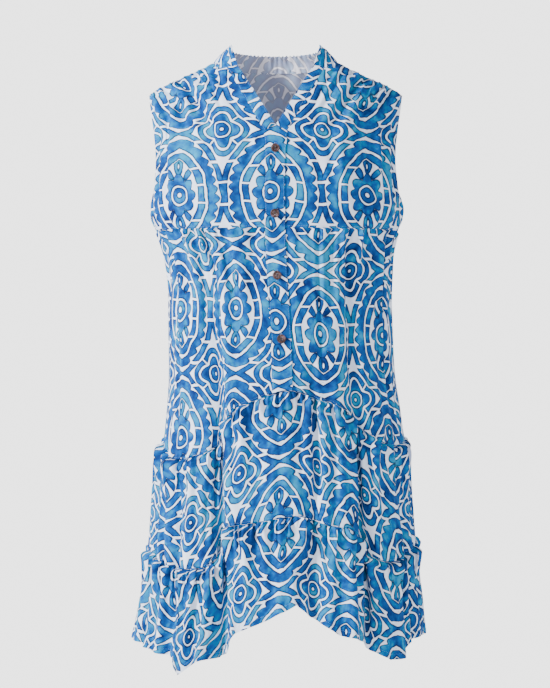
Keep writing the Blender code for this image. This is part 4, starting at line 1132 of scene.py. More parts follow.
class Wire:
    """A value in a node tree whose arithmetic adds math nodes."""

    def __init__(self, tree: Tree, socket: Socket) -> None:
        self.tree = tree
        self.socket = socket

    def math(self, operation: str, *others: "Wire | float") -> "Wire":
        """Returns the result of a math node on this value and up to two others."""
        inputs = dict(enumerate((self, *others)))
        node = add_node(self.tree, "ShaderNodeMath", inputs, operation=operation)
        return Wire(self.tree, node.outputs[0])

    def __add__(self, other: "Wire | float") -> "Wire":
        return self.math("ADD", other)

    def __sub__(self, other: "Wire | float") -> "Wire":
        return self.math("SUBTRACT", other)

    def __mul__(self, other: "Wire | float") -> "Wire":
        return self.math("MULTIPLY", other)

    def __truediv__(self, other: "Wire | float") -> "Wire":
        return self.math("DIVIDE", other)

    def __neg__(self) -> "Wire":
        return self * -1.0

    def __abs__(self) -> "Wire":
        return self.math("ABSOLUTE")

    def from_(self, value: float) -> "Wire":
        """Returns value minus this."""
        return (-self) + value

    def at_most(self, other: "Wire | float") -> "Wire":
        """Returns the smaller of the two."""
        return self.math("MINIMUM", other)

    def at_least(self, other: "Wire | float") -> "Wire":
        """Returns the larger of the two."""
        return self.math("MAXIMUM", other)

    def within(self, middle: float, half: float) -> "Wire":
        """Returns how far this lies inside a range: above 0 inside, below 0 outside."""
        return abs(self - middle).from_(half)

    def eased(self, low: float, high: float) -> "Wire":
        """Returns 0 to 1 as this goes from low to high, smoothly."""
        inputs = {"Value": self, "From Min": low, "From Max": high}
        node = add_node(self.tree, "ShaderNodeMapRange", inputs, interpolation_type="SMOOTHSTEP")
        return Wire(self.tree, node.outputs["Result"])


def set_inputs(tree: Tree, node: Node, values: Inputs) -> None:
    """Links or sets inputs of a node, given by name or place."""
    for name, value in values.items():
        value = value.socket if isinstance(value, Wire) else value
        if isinstance(value, Socket):
            tree.links.new(value, node.inputs[name])
        else:
            node.inputs[name].default_value = value


def add_node(tree: Tree, kind: str, inputs: Inputs | None = None, **settings: object) -> Node:
    """Returns a new node with its settings and inputs."""
    node = tree.nodes.new(kind)
    for name, value in settings.items():
        setattr(node, name, value)
    set_inputs(tree, node, inputs or {})
    return node


def new_group(name: str, kind: str, inputs: Mapping[str, str],
              outputs: Mapping[str, str]) -> tuple[Tree, Node, Node]:
    """Returns a new node group with sockets of those types, its input node and its output node."""
    tree = bpy.data.node_groups.new(name, kind)
    for way, sockets in (("INPUT", inputs), ("OUTPUT", outputs)):
        for socket, sort in sockets.items():
            tree.interface.new_socket(socket, in_out=way, socket_type=f"NodeSocket{sort}")
    return tree, tree.nodes.new("NodeGroupInput"), tree.nodes.new("NodeGroupOutput")


def new_material(name: str, inputs: Inputs) -> tuple[Material, Tree, Node]:
    """Returns a new material, its tree and its shader, with some of the shader's inputs set."""
    material = bpy.data.materials.new(name)
    material.use_nodes = True
    tree = material.node_tree
    shader = tree.nodes["Principled BSDF"]
    set_inputs(tree, shader, inputs)
    return material, tree, shader


def split(tree: Tree, place: Socket) -> list[Wire]:
    """Returns the three coordinates of a place."""
    node = add_node(tree, "ShaderNodeSeparateXYZ", {0: place})
    return [Wire(tree, output) for output in node.outputs]


def noise(tree: Tree, place: Socket, scale: float, detail: float, distortion: float = 0.0) -> Node:
    """Returns the node of a noise texture."""
    return add_node(tree, "ShaderNodeTexNoise",
                    {"Vector": place, "Scale": scale, "Detail": detail, "Distortion": distortion})


def colour_ramp(tree: Tree, tone: Socket, *stops: tuple[float, Colour]) -> Socket:
    """Returns the colour that a tone has on a ramp."""
    node = add_node(tree, "ShaderNodeValToRGB", {"Fac": tone})
    elements = node.color_ramp.elements
    elements[0].position, elements[1].position = stops[0][0], stops[-1][0]
    for position, _ in stops[1:-1]:
        elements.new(position)
    for element, (_, colour) in zip(elements, stops):
        element.color = colour
    return node.outputs["Color"]


def mixed(tree: Tree, share: Wire, colour: object, other: object) -> Socket:
    """Returns a colour mixed towards another by a share."""
    inputs = {"Factor": share, 6: colour, 7: other}
    return add_node(tree, "ShaderNodeMix", inputs, data_type="RGBA").outputs[2]


# ---------------------------------------------------------------- finishes


def srgb(red: int, green: int, blue: int) -> Colour:
    """Returns the linear colour of an sRGB one."""
    values = [c / 255 for c in (red, green, blue)]
    return (*[c / 12.92 if c <= 0.04045 else ((c + 0.055) / 1.055) ** 2.4 for c in values], 1.0)


def distance(x: Wire, y: Wire) -> Wire:
    """Returns the length of the vector (x, y)."""
    return (x * x + y * y).math("SQRT")


def leaf(x: Wire, y: Wire, middle: Pair, half: Pair, turn: float = 0.0) -> Wire:
    """Returns how far a place lies inside an oval leaf that leans by turn degrees."""
    cos, sin = math.cos(math.radians(turn)), math.sin(math.radians(turn))
    over, up = x - middle[0], y - middle[1]
    wide = (over * cos - up * sin) * (1 / half[0])
    tall = (over * sin + up * cos) * (1 / half[1])
    return distance(wide, tall).from_(1.0) * half[0]


def bloom(edge: Wire, out: Wire, ring: Pair, eye: float) -> Wire:
    """Returns how far a place lies inside a flower, outside its bare ring and its bare eye."""
    return (edge - out).at_most(abs(out - ring[0]) - ring[1]).at_most(out - eye)


@dataclass(frozen=True)
class PrintDesign:
    """A generic painted print: pointed ovals in rows, and a quatrefoil between each four.

    Attributes:
        width: Distance from one oval to the next beside it, in millimetres.
        height: Distance from one oval to the next above it.
        oval: Half the width and half the height of an oval.
        strays: Scales of the brush's straying, and how far it goes.
        bolder: How much wider than drawn every stroke is painted, at each edge.
    """

    width: float = 154.0
    height: float = 202.0
    oval: Pair = (63.0, 90.0)
    strays: tuple[Pair, ...] = ((27.0, 4.6), (170.0, 0.7))
    bolder: float = 1.1

    SCALLOP = (15.5, 6.0)           # length and depth
    EDGE_STROKE = 10.0
    INNER_STROKE = (20.5, 5.0)      # distance into the oval and half width
    BEYOND_STROKE = (-13.0, 4.0)
    INNER_BREAKS = (29.0, 3.4)      # distance from one to the next and half width
    BEYOND_BREAKS = (202.0 / 6, 3.8)
    BREAK_SLOPE = 15.0
    FLOWER_SQUASH = 0.86
    FLOWER_ROOM = 28.5
    PETALS = (23.5, 8.0)            # mean reach and how much it swings
    FLOWER_RING = (14.0, 2.3)       # reach and half width
    FLOWER_EYE = 4.4
    BUD = ((0.0, 51.0), (8.6, 16.0))
    BUD_SLIT = ((0.0, 48.0), (2.4, 6.5))
    WING = ((17.5, 37.0), (4.8, 11.0), 38.0)
    LOBES = (22.5, 5.5)
    QUATREFOIL_RING = (12.0, 2.1)
    QUATREFOIL_EYE = 3.4
    ECHO = (9.8, 4.0)
    ECHO_BREAK = (0.7, 2.2)
    WASH_CLOUDS = ((21.0, 3.0, 1.2), (95.0, 4.0))
    BROAD_SHARE = 0.68
    WASH_RANGE = (0.30, 0.70)

    def group(self) -> Tree:
        """Returns the node group: from a place on the cloth to the ink, its rim and its tone."""
        tones = dict.fromkeys(("Ink", "Rim", "Tone"), "Float")
        tree, entry, leave = new_group("Painted medallion print", "ShaderNodeTree",
                                       {"Place": "Vector"}, tones)
        place = entry.outputs["Place"]
        u, v, _ = split(tree, self._stray(tree, place))
        inside = self._drawing(u * (1 / MM), v * (1 / MM)) + self.bolder
        set_inputs(tree, leave, {"Ink": inside.eased(-0.5, 0.5), "Rim": inside.eased(3.0, 1.0),
                                 "Tone": self._tone(tree, place)})
        return tree

    def _stray(self, tree: Tree, place: Socket) -> Socket:
        """Returns the place moved about by a few millimetres, as by a free hand."""
        for scale, size in self.strays:
            reach = 2 * size * MM
            cloud = noise(tree, place, scale, 1.0).outputs["Color"]
            moved = add_node(tree, "ShaderNodeVectorMath",
                             {0: cloud, 1: (reach, reach, 0.0), 2: place}, operation="MULTIPLY_ADD")
            place = moved.outputs[0]
        return place

    def _tone(self, tree: Tree, place: Socket) -> Wire:
        """Returns the unevenness of the wash."""
        broad, fine = (Wire(tree, noise(tree, place, *cloud).outputs["Fac"])
                       for cloud in self.WASH_CLOUDS)
        tone = broad * self.BROAD_SHARE + fine * (1 - self.BROAD_SHARE)
        return tone.eased(*self.WASH_RANGE)

    def _drawing(self, u: Wire, v: Wire) -> Wire:
        """Returns how far a place lies inside the drawing's strokes, in millimetres."""
        p = abs(u - (u / self.width).math("ROUND") * self.width)
        q = v - (v / self.height).math("ROUND") * self.height
        wide, tall = self.oval
        radius = (wide * wide + tall * tall) / (2 * wide)
        inside = distance(p + (radius - wide), q).from_(radius)
        drawn = self._bands(inside, q).at_least(self._flower(p, q, inside))
        return drawn.at_least(self._quatrefoil(p, q))

    def _bands(self, inside: Wire, q: Wire) -> Wire:
        """Returns the strokes round an oval: a scalloped one, and a broken one on each side."""
        length, depth = self.SCALLOP
        scallops = abs((q * (math.pi / length)).math("SINE")) * depth
        outer = (inside + scallops).at_most(inside.from_(self.EDGE_STROKE))
        inner = inside.within(*self.INNER_STROKE).at_most(self._breaks(q, *self.INNER_BREAKS))
        beyond = inside.within(*self.BEYOND_STROKE).at_most(self._breaks(q, *self.BEYOND_BREAKS))
        return outer.at_least(inner).at_least(beyond)

    def _breaks(self, q: Wire, length: float, half: float) -> Wire:
        """Returns how far a height lies outside the breaks of a stroke."""
        return abs((q * (math.pi / length)).math("COSINE")) * self.BREAK_SLOPE - half

    def _flower(self, p: Wire, q: Wire, inside: Wire) -> Wire:
        """Returns the strokes of the flower in an oval and of the leaves above and below it."""
        up = abs(q)
        reach, swing = self.PETALS
        petals = abs((p.math("ARCTAN2", q) * 4.0).math("COSINE")) * swing + reach
        out = distance(p, q * self.FLOWER_SQUASH)
        flower = bloom(petals, out, self.FLOWER_RING, self.FLOWER_EYE)
        bud = leaf(p, up, *self.BUD).at_most(-leaf(p, up, *self.BUD_SLIT))
        leaves = bud.at_least(leaf(p, up, *self.WING))
        return flower.at_least(leaves.at_most(inside - self.FLOWER_ROOM))

    def _quatrefoil(self, p: Wire, q: Wire) -> Wire:
        """Returns the strokes of the flower between four ovals, with the line that echoes it."""
        x, y = p.from_(self.width / 2), abs(q).from_(self.height / 2)
        out = distance(x, y)
        reach, swing = self.LOBES
        lobes = (x.math("ARCTAN2", y) * 4.0).math("COSINE") * swing + reach
        slope, half = self.ECHO_BREAK
        echo = (out - lobes).within(*self.ECHO).at_most(abs(x - y) * slope - half)
        return bloom(lobes, out, self.QUATREFOIL_RING, self.QUATREFOIL_EYE).at_least(echo)


CLOTH_GLOSS = {"Roughness": 0.86, "Specular IOR Level": 0.12}
SHELL_GLOSS = {"Roughness": 0.30, "Specular IOR Level": 0.22,
               "Coat Weight": 0.06, "Coat Roughness": 0.12}
THREAD_GLOSS = {"Roughness": 0.7, "Sheen Weight": 0.2}


@dataclass(frozen=True)
class ClothFinish:
    """Printed viscose.

    Attributes:
        name: Name of the material.
        ground: Colour of the bare cloth.
        deep: Darkest wash.
        middle: Wash of most strokes.
        light: Palest wash.
        rim: Pigment that gathers at the edge of a stroke.
        fade: How much paler the print is, 0 on the right side.
    """

    name: str
    ground: Colour
    deep: Colour
    middle: Colour
    light: Colour
    rim: Colour
    fade: float = 0.0

    RIM_SHARE = 0.82
    BUMP_STRENGTH = 0.25
    BUMP_DEPTH = 0.12 * MM

    def material(self, design: Tree, weave: Tree) -> Material:
        """Returns the finish, from the print's and the weave's node groups."""
        material, tree, shader = new_material(self.name, CLOTH_GLOSS)
        place = add_node(tree, "ShaderNodeUVMap", uv_map="cloth").outputs["UV"]
        pattern, threads = (add_node(tree, "ShaderNodeGroup", {"Place": place}, node_tree=group)
                            for group in (design, weave))
        stops = ((0.0, self.deep), (0.5, self.middle), (1.0, self.light))
        wash = colour_ramp(tree, pattern.outputs["Tone"], *stops)
        edged = mixed(tree, Wire(tree, pattern.outputs["Rim"]) * self.RIM_SHARE, wash, self.rim)
        dyed = mixed(tree, Wire(tree, pattern.outputs["Ink"]) * (1 - self.fade), self.ground, edged)
        raising = {"Strength": self.BUMP_STRENGTH, "Distance": self.BUMP_DEPTH,
                   "Height": threads.outputs["Height"]}
        bump = add_node(tree, "ShaderNodeBump", raising)
        set_inputs(tree, shader, {"Base Color": dyed, "Normal": bump.outputs["Normal"]})
        return material


THREAD_PITCH = 0.55 * MM


def weave_group() -> Tree:
    """Returns the node group of the plain weave: from a place to the height of its threads."""
    tree, entry, leave = new_group("Plain weave", "ShaderNodeTree",
                                   {"Place": "Vector", "Thread pitch": "Float"},
                                   {"Height": "Float"})
    tree.interface.items_tree["Thread pitch"].default_value = THREAD_PITCH
    pitch = Wire(tree, entry.outputs["Thread pitch"])
    u, v, _ = split(tree, entry.outputs["Place"])
    height = (u / pitch * math.pi).math("SINE") * (v / pitch * math.pi).math("SINE") * 0.5 + 0.5
    set_inputs(tree, leave, {"Height": height})
    return tree


RIGHT_SIDE = ClothFinish("printed_voile", ground=srgb(200, 210, 230), deep=srgb(0, 30, 84),
                         middle=srgb(0, 70, 136), light=srgb(20, 126, 164), rim=srgb(0, 10, 44))
# The reverse's ground is painted lighter than the right side's ground, a painted lift against the
# shade that falls inside the garment; its paler print is the print showing through the cloth.
REVERSE_SIDE = ClothFinish("printed_voile_reverse", ground=srgb(222, 220, 230),
                           deep=srgb(14, 58, 124), middle=srgb(24, 88, 152),
                           light=srgb(48, 126, 168), rim=srgb(12, 42, 92), fade=0.40)
SHELL_CLOUD = (190.0, 4.0, 1.6)
SHELL_TONES = ((0.30, srgb(26, 14, 14)), (0.5, srgb(54, 34, 32)), (0.72, srgb(112, 88, 92)))
SEAM_BLUE = srgb(98, 144, 196)
BUTTON_BROWN = srgb(26, 16, 16)
FLOOR_GREY = (0.9, 0.9, 0.9, 1.0)


def shell_material() -> Material:
    """Returns the finish of the dark shell-like buttons."""
    material, tree, shader = new_material("shell_button", SHELL_GLOSS)
    place = add_node(tree, "ShaderNodeTexCoord").outputs["Object"]
    cloud = noise(tree, place, *SHELL_CLOUD).outputs["Fac"]
    set_inputs(tree, shader, {"Base Color": colour_ramp(tree, cloud, *SHELL_TONES)})
    return material


def thread_material(name: str, colour: Colour) -> Material:
    """Returns the finish of a sewing thread."""
    return new_material(name, {"Base Color": colour, **THREAD_GLOSS})[0]


# ---------------------------------------------------------------- buttons


def mesh_of(name: str, maker: bmesh.types.BMesh) -> bpy.types.Mesh:
    """Returns the maker's mesh, and frees the maker."""
    mesh = bpy.data.meshes.new(name)
    maker.to_mesh(mesh)
    maker.free()
    return mesh


def apply_modifiers(piece: Object) -> None:
    """Gives a piece the mesh that its modifiers make."""
    bpy.context.view_layer.update()
    graph = bpy.context.evaluated_depsgraph_get()
    ready = bpy.data.meshes.new_from_object(piece.evaluated_get(graph))
    piece.modifiers.clear()
    piece.data = ready


def bridge(maker: bmesh.types.BMesh, rings: Sequence[Sequence[Point]]) -> None:
    """Adds rings of points and the faces between them, and closes the two ends."""
    rings = [[maker.verts.new(point) for point in ring] for ring in rings]
    for lower, upper in zip(rings, rings[1:]):
        for k in range(len(lower)):
            after = (k + 1) % len(lower)
            maker.faces.new((lower[k], lower[after], upper[after], upper[k]))
    maker.faces.new(rings[-1])
    maker.faces.new(rings[0][::-1])


def full_turn(sides: int) -> list[float]:
    """Returns the angles of a polygon's corners."""
    return [math.tau * k / sides for k in range(sides)]


class Buttons:
    """The four two-hole buttons down the placket, with the thread that holds each."""

    DIAMETER = 14 * MM
    THICKNESS = 2.4 * MM
    SHANK = 0.8 * MM
    HOLE = 2.3 * MM
    HOLE_PITCH = 4.2 * MM
    HEIGHTS = (-138 * MM, -240 * MM, -337 * MM, -436 * MM)
    CLOTH_OVER = 1.9 * MM
    SIDES = 64
    # Shares of the radius and of half the thickness, from the underside to the sunken face.
    PROFILE = ((0.55, -0.90), (0.80, -0.78), (0.95, -0.40), (1.0, 0.0), (0.985, 0.45),
               (0.94, 0.85), (0.88, 1.0), (0.80, 0.95), (0.72, 0.62), (0.62, 0.48),
               (0.40, 0.42), (0.20, 0.40))
    STRAND_ROWS = (-0.45 * MM, 0.0, 0.45 * MM)
    STRAND_RADIUS = 0.30 * MM
    STRAND_RISE = 0.75 * MM
    STRAND_SIDES = 6
    STRAND_TURNS = (-0.12, 1.12, 9)     # first and last in half turns, and how many rings
    STRAND_UP = 0.2                     # of the thickness, above the middle
    SHARP_ANGLE = 38
    SHANK_RADII = (1.9 * MM, 1.5 * MM)
    SHANK_SIDES = 12
    HOLE_SIDES = 24
    SHANK_IN = 0.3 * MM

    def place(self, height: float) -> Matrix:
        """Returns where a button lies, its own +Z away from the cloth."""
        angle = FORM.angle(FORM.placket_out(0.0, height), height)
        level = np.asarray(FORM.level(angle, height))
        lift = self.CLOTH_OVER + self.SHANK + self.THICKNESS / 2
        middle = Vector(FORM.cloth(angle, level, lift))
        turn = Vector(FORM.normal(angle, level)).to_track_quat("Z", "Y")
        return Matrix.Translation(middle) @ turn.to_matrix().to_4x4()

    def button(self, number: int, material: Material) -> Object:
        """Returns one button."""
        radius, half = self.DIAMETER / 2, self.THICKNESS / 2
        maker = bmesh.new()
        rings = [[(radius * out * math.cos(turn), radius * out * math.sin(turn), half * up)
                  for turn in full_turn(self.SIDES)] for out, up in self.PROFILE]
        bridge(maker, rings)
        mesh = mesh_of(f"button_{number}_shell", maker)
        mesh.materials.append(material)
        piece = new_object(mesh.name, mesh)
        self._drill(piece)
        piece.data.transform(self.place(self.HEIGHTS[number - 1]))
        piece.data.shade_smooth()
        piece.data.set_sharp_from_angle(angle=math.radians(self.SHARP_ANGLE))
        return piece

    def thread(self, number: int, material: Material) -> Object:
        """Returns the thread of one button: strands from hole to hole, and the shank under it."""
        maker = bmesh.new()
        for row in self.STRAND_ROWS:
            self._strand(maker, row)
        shank = 2 * self.SHANK
        below = Matrix.Translation((0, 0, self.SHANK_IN - self.THICKNESS / 2 - shank / 2))
        foot, top = self.SHANK_RADII
        bmesh.ops.create_cone(maker, cap_ends=True, segments=self.SHANK_SIDES,
                              radius1=foot, radius2=top, depth=shank, matrix=below)
        mesh = mesh_of(f"button_{number}_thread", maker)
        mesh.transform(self.place(self.HEIGHTS[number - 1]))
        mesh.materials.append(material)
        mesh.shade_smooth()
        return new_object(mesh.name, mesh)

    def _strand(self, maker: bmesh.types.BMesh, row: float) -> None:
        """Adds one strand that rises out of one hole and goes down into the other."""
        radius, rings = self.STRAND_RADIUS, []
        for turn in np.linspace(*self.STRAND_TURNS) * math.pi:
            y = -math.cos(turn) * self.HOLE_PITCH / 2
            z = self.THICKNESS * self.STRAND_UP + self.STRAND_RISE * math.sin(turn)
            sides = [(radius * math.cos(a), radius * math.sin(a))
                     for a in full_turn(self.STRAND_SIDES)]
            rings.append([(row + over, y + up * math.sin(turn), z + up) for over, up in sides])
        bridge(maker, rings)

    def _drill(self, piece: Object) -> None:
        """Cuts the two holes."""
        maker = bmesh.new()
        radius = self.HOLE / 2
        for side in (-1, 1):
            middle = Matrix.Translation((0, side * self.HOLE_PITCH / 2, 0))
            bmesh.ops.create_cone(maker, cap_ends=True, segments=self.HOLE_SIDES,
                                  radius1=radius, radius2=radius, depth=3 * self.THICKNESS,
                                  matrix=middle)
        cutter = new_object("holes", mesh_of("holes", maker))
        cut = piece.modifiers.new("holes", "BOOLEAN")
        cut.object = cutter
        cut.solver = "EXACT"
        apply_modifiers(piece)
        bpy.data.objects.remove(cutter)


# ---------------------------------------------------------------- sewing


class Edge(Enum):
    """Edges of a panel's grid: whether they run upwards, and the step away from them."""

    FOOT = (0, 1)
    TOP = (0, -1)
    RIGHT = (1, 1)
    LEFT = (1, -1)


class SewnLine(NamedTuple):
    """A line of stitches: its panel and edge, the way in, and the share of the edge it follows."""

    panel: str
    edge: Edge
    inset: float
    first: float = 0.0
    last: float = 1.0


HEM_INSET = 8.5 * MM
SEAM_INSET = 2.5 * MM
EDGE_INSET = 1.8 * MM
ARMHOLE_INSET = 6.0 * MM
UNDERARM_SHARE = 0.52       # where the back's armholes start on its edges

SEWING = {
    "hem": [SewnLine(name, Edge.FOOT, HEM_INSET) for name in ("tier_3_front", "tier_3_back")],
    "tier_seams": [
        SewnLine("front_body_left", Edge.FOOT, SEAM_INSET, 0.04),
        SewnLine("front_body_right", Edge.FOOT, SEAM_INSET, 0.0, 0.96),
        *(SewnLine(name, Edge.FOOT, SEAM_INSET)
          for name in ("back_body", "tier_2_front", "tier_2_back")),
    ],
    "chest_seam": [
        SewnLine("front_yoke_left", Edge.FOOT, SEAM_INSET, 0.02),
        SewnLine("front_yoke_right", Edge.FOOT, SEAM_INSET, 0.0, 0.98),
    ],
    "placket": [SewnLine("placket_over", edge, EDGE_INSET, 0.0, 0.99)
                for edge in (Edge.LEFT, Edge.RIGHT)],
    "neck": [
        *(SewnLine(f"neck_band_{word}", edge, EDGE_INSET)
          for word, _ in SIDES for edge in (Edge.LEFT, Edge.RIGHT)),
        SewnLine("collar_stand", Edge.FOOT, 2.0 * MM),
        SewnLine("collar_stand", Edge.TOP, 2.4 * MM),
    ],
    "armholes": [
        SewnLine("front_yoke_left", Edge.LEFT, ARMHOLE_INSET),
        SewnLine("front_yoke_right", Edge.RIGHT, ARMHOLE_INSET),
        *(SewnLine("back_body", edge, ARMHOLE_INSET, UNDERARM_SHARE)
          for edge in (Edge.RIGHT, Edge.LEFT)),
    ],
}


def sewn_points(panel: ClothPanel, line: SewnLine) -> SewnPoints:
    """Returns the points of a line sewn on a panel and the way out of the cloth at each."""
    upwards, step = line.edge.value
    points, outs = panel.outer, grid_normals(panel.outer)
    if upwards:
        points, outs = points.swapaxes(0, 1), outs.swapaxes(0, 1)
    points, outs = points[::step], outs[::step]
    last = points.shape[1] - 1
    chosen = np.arange(int(line.first * last), int(line.last * last) + 1)
    reach = arc_lengths(points, 0)
    at = np.array([np.interp(line.inset, reach[:, k], np.arange(len(reach))) for k in chosen])
    low = np.minimum(at.astype(int), len(reach) - 2)
    share = (at - low)[:, None]
    place = points[low, chosen] * (1 - share) + points[low + 1, chosen] * share
    return place, unit(outs[low, chosen] * (1 - share) + outs[low + 1, chosen] * share)


@dataclass(frozen=True)
class Thread:
    """Stitches of one sewing thread.

    Attributes:
        pitch: Distance from one stitch to the next.
        length: Length of a stitch along its line.
        width: Its width across the line.
        rise: How far it stands out of the cloth.
        uneven: Largest change of length, as a share.
        seed: Seed of the unevenness.
    """

    pitch: float
    length: float
    width: float
    rise: float
    uneven: float
    seed: int

    def sew(self, name: str, lines: Sequence[SewnPoints], material: Material) -> Object:
        """Returns one object with the stitches of all the lines."""
        mesh = bpy.data.meshes.new(name)
        starts = np.cumsum([0] + [len(points) for points, _ in lines])
        edges = [(k, k + 1) for first, end in zip(starts, starts[1:])
                 for k in range(first, end - 1)]
        points, outs = (np.concatenate(values) for values in zip(*lines))
        mesh.from_pydata(points.tolist(), edges, [])
        out = mesh.attributes.new("out", "FLOAT_VECTOR", "POINT")
        out.data.foreach_set("vector", outs.astype(np.float32).ravel())
        piece = new_object(name, mesh)
        group = stitch_group()
        sewn = piece.modifiers.new("stitches", "NODES")
        sewn.node_group = group
        values = {"Pitch": self.pitch, "Length": self.length, "Width": self.width,
                  "Rise": self.rise, "Uneven": self.uneven, "Seed": self.seed, "Thread": material}
        for item in group.interface.items_tree:
            if item.name in values and item.in_out == "INPUT":
                sewn[item.identifier] = values[item.name]
        apply_modifiers(piece)
        return piece


def stitch_group() -> Tree:
    """Returns the tree that sets stitches along the lines of a mesh."""
    name = "Stitches along lines"
    if name in bpy.data.node_groups:
        return bpy.data.node_groups[name]
    sizes = dict.fromkeys(("Pitch", "Length", "Width", "Rise", "Uneven"), "Float")
    inputs = {"Geometry": "Geometry", **sizes, "Seed": "Int", "Thread": "Material"}
    tree, entry, leave = new_group(name, "GeometryNodeTree", inputs, {"Geometry": "Geometry"})
    given = entry.outputs
    curve = add_node(tree, "GeometryNodeMeshToCurve", {"Mesh": given["Geometry"]})
    spots = add_node(tree, "GeometryNodeCurveToPoints",
                     {"Curve": curve.outputs["Curve"], "Length": given["Pitch"]}, mode="LENGTH")
    stitch = add_node(tree, "GeometryNodeMeshIcoSphere", {"Radius": 0.5, "Subdivisions": 1})
    smooth = add_node(tree, "GeometryNodeSetShadeSmooth", {"Geometry": stitch.outputs["Mesh"]})
    out = add_node(tree, "GeometryNodeInputNamedAttribute", {"Name": "out"},
                   data_type="FLOAT_VECTOR")
    along = add_node(tree, "FunctionNodeAlignRotationToVector",
                     {"Vector": spots.outputs["Tangent"]}, axis="X")
    upright = add_node(tree, "FunctionNodeAlignRotationToVector",
                       {"Rotation": along.outputs["Rotation"], "Vector": out.outputs["Attribute"]},
                       axis="Z", pivot_axis="X")
    uneven = Wire(tree, given["Uneven"])
    chance = add_node(tree, "FunctionNodeRandomValue",
                      {2: uneven.from_(1.0), 3: uneven + 1.0, "Seed": given["Seed"]},
                      data_type="FLOAT")
    length = Wire(tree, given["Length"]) * Wire(tree, chance.outputs[1])
    size = add_node(tree, "ShaderNodeCombineXYZ",
                    {"X": length, "Y": given["Width"], "Z": given["Rise"]})
    placed = add_node(tree, "GeometryNodeInstanceOnPoints", {
        "Points": spots.outputs["Points"], "Instance": smooth.outputs["Geometry"],
        "Rotation": upright.outputs["Rotation"], "Scale": size.outputs["Vector"]})
    real = add_node(tree, "GeometryNodeRealizeInstances", {"Geometry": placed.outputs["Instances"]})
    dyed = add_node(tree, "GeometryNodeSetMaterial",
                    {"Geometry": real.outputs["Geometry"], "Material": given["Thread"]})
    set_inputs(tree, leave, {"Geometry": dyed.outputs["Geometry"]})
    return tree


SEAM_THREAD = Thread(2.6 * MM, 2.1 * MM, 0.34 * MM, 0.34 * MM, 0.12, 5)
BUTTONHOLE_THREAD = Thread(0.45 * MM, 0.42 * MM, 1.5 * MM, 0.5 * MM, 0.10, 6)
BUTTONHOLE_HALF = (1.0 * MM, 8.6 * MM)
BUTTONHOLE_PROUD = 2.2 * MM
BUTTONHOLE_STEPS = 24


def buttonhole_lines(height: float) -> list[SewnPoints]:
    """Returns the two rows of a buttonhole in the upper strip, up and down along the placket."""
    lines = []
    half_width, half_length = BUTTONHOLE_HALF
    heights = height + np.linspace(-half_length, half_length, BUTTONHOLE_STEPS)
    for side in (-1, 1):
        angle = FORM.angle(FORM.placket_out(side * half_width / PLACKET_HALF, heights), heights)
        level = FORM.level(angle, heights)
        lines.append((FORM.cloth(angle, level, BUTTONHOLE_PROUD), FORM.normal(angle, level)))
    return lines


# ---------------------------------------------------------------- stage


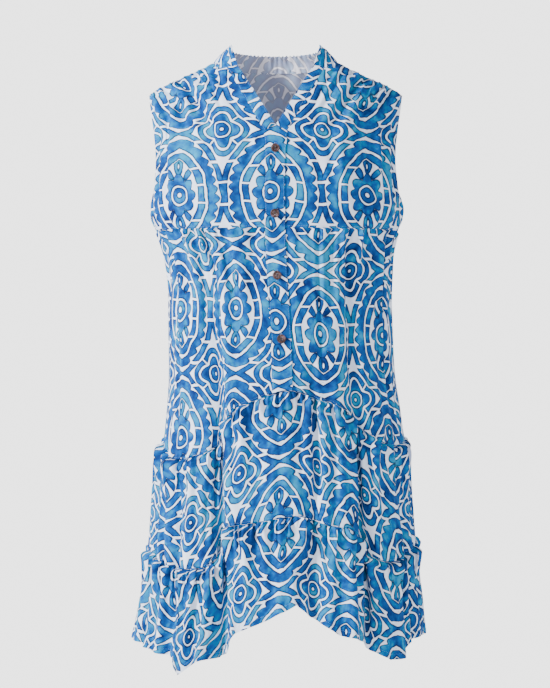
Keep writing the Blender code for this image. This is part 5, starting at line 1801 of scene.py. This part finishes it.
class Studio:
    """Plain white studio: floor, soft light and camera."""

    FLOOR = -1.45
    FLOOR_HALF = 2.4
    CAMERA = (-0.005, -3.5, -0.444)
    SENSOR = 36.0
    LENS = 113.0
    AIM = (0.0, 0.0, -0.45)
    LIGHTS = (("key", (-2.8, -1.5, 1.4), 0.6, 380.0), ("fill", (2.4, -2.4, -0.2), 2.4, 12.0))
    COVE = 3.1
    COVE_EDGES = (0.34, 0.16)
    SURROUND = 0.6

    def build(self, floor_material: Material) -> None:
        """Adds everything that isn't the garment."""
        mesh = bpy.data.meshes.new("floor")
        half, z = self.FLOOR_HALF, self.FLOOR
        corners = [(-half, -half, z), (half, -half, z), (half, half, z), (-half, half, z)]
        mesh.from_pydata(corners, [], [(0, 1, 2, 3)])
        mesh.materials.append(floor_material)
        floor = new_object("floor", mesh)
        self._world()
        for light in self.LIGHTS:
            self._light(*light)
        self._camera()

    def _world(self) -> None:
        """Sets a white surrounding that is brightest at the height of the garment."""
        world = bpy.data.worlds.new("studio")
        bpy.context.scene.world = world
        world.use_nodes = True
        tree = world.node_tree
        place = add_node(tree, "ShaderNodeTexCoord").outputs["Generated"]
        level = abs(split(tree, place)[2]).eased(*self.COVE_EDGES)
        strength = level * (self.COVE - self.SURROUND) + self.SURROUND
        white = (1.0, 1.0, 1.0, 1.0)
        set_inputs(tree, tree.nodes["Background"], {"Color": white, "Strength": strength})

    def _light(self, name: str, place: Point, size: float, power: float) -> None:
        """Adds a large square light that faces the garment."""
        light = bpy.data.lights.new(name, "AREA")
        light.size = size
        light.energy = power
        lamp = new_object(name, light)
        lamp.location = place
        lamp.rotation_euler = (Vector(self.AIM) - Vector(place)).to_track_quat("-Z", "Y").to_euler()

    def _camera(self) -> None:
        """Adds the camera, level and straight before the garment."""
        data = bpy.data.cameras.new("camera")
        data.sensor_fit = "VERTICAL"
        data.sensor_height = self.SENSOR
        data.lens = self.LENS
        camera = new_object("camera", data)
        camera.location = self.CAMERA
        camera.rotation_euler = (math.radians(90), 0, 0)
        bpy.context.scene.camera = camera


# ---------------------------------------------------------------- assembly


class Kaftan:
    """The whole garment."""

    def build(self) -> None:
        """Makes every piece, and hides the CAD node that each cloth panel and button stands for."""
        design, weave = PrintDesign().group(), weave_group()
        cloth = [RIGHT_SIDE.material(design, weave), REVERSE_SIDE.material(design, weave)]
        shell = shell_material()
        panels = {panel.name: panel for panel in all_panels()}
        made = {name: panel.build(cloth) for name, panel in panels.items()}
        for name, piece in made.items():
            self._place(piece, name)
        seam_thread = thread_material("sewing_thread", SEAM_BLUE)
        button_thread = thread_material("button_thread", BUTTON_BROWN)
        for name, lines in SEWING.items():
            points = [sewn_points(panels[line.panel], line) for line in lines]
            self._add(SEAM_THREAD.sew(f"stitches_{name}", points, seam_thread))
        holes = [line for height in Buttons.HEIGHTS for line in buttonhole_lines(height)]
        self._add(BUTTONHOLE_THREAD.sew("buttonholes", holes, seam_thread))
        buttons = Buttons()
        for number in range(1, len(Buttons.HEIGHTS) + 1):
            self._place(buttons.button(number, shell), f"button_{number}")
            self._add(buttons.thread(number, button_thread))

    def _place(self, piece: Object, node: str) -> None:
        """Adds a piece that takes the place of its node."""
        self._add(piece)
        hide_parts(node)

    def _add(self, piece: Object) -> None:
        """Rides a piece on the body."""
        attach(piece, "root")
        triangles = sum(len(face.vertices) - 2 for face in piece.data.polygons)
        log.info("%s: %d triangles", piece.name, triangles)


def main() -> None:
    """Builds the garment and its studio."""
    logging.basicConfig(level=logging.INFO, format="%(message)s")
    Kaftan().build()
    Studio().build(thread_material("floor", FLOOR_GREY))


if __name__ == "__main__":
    main()
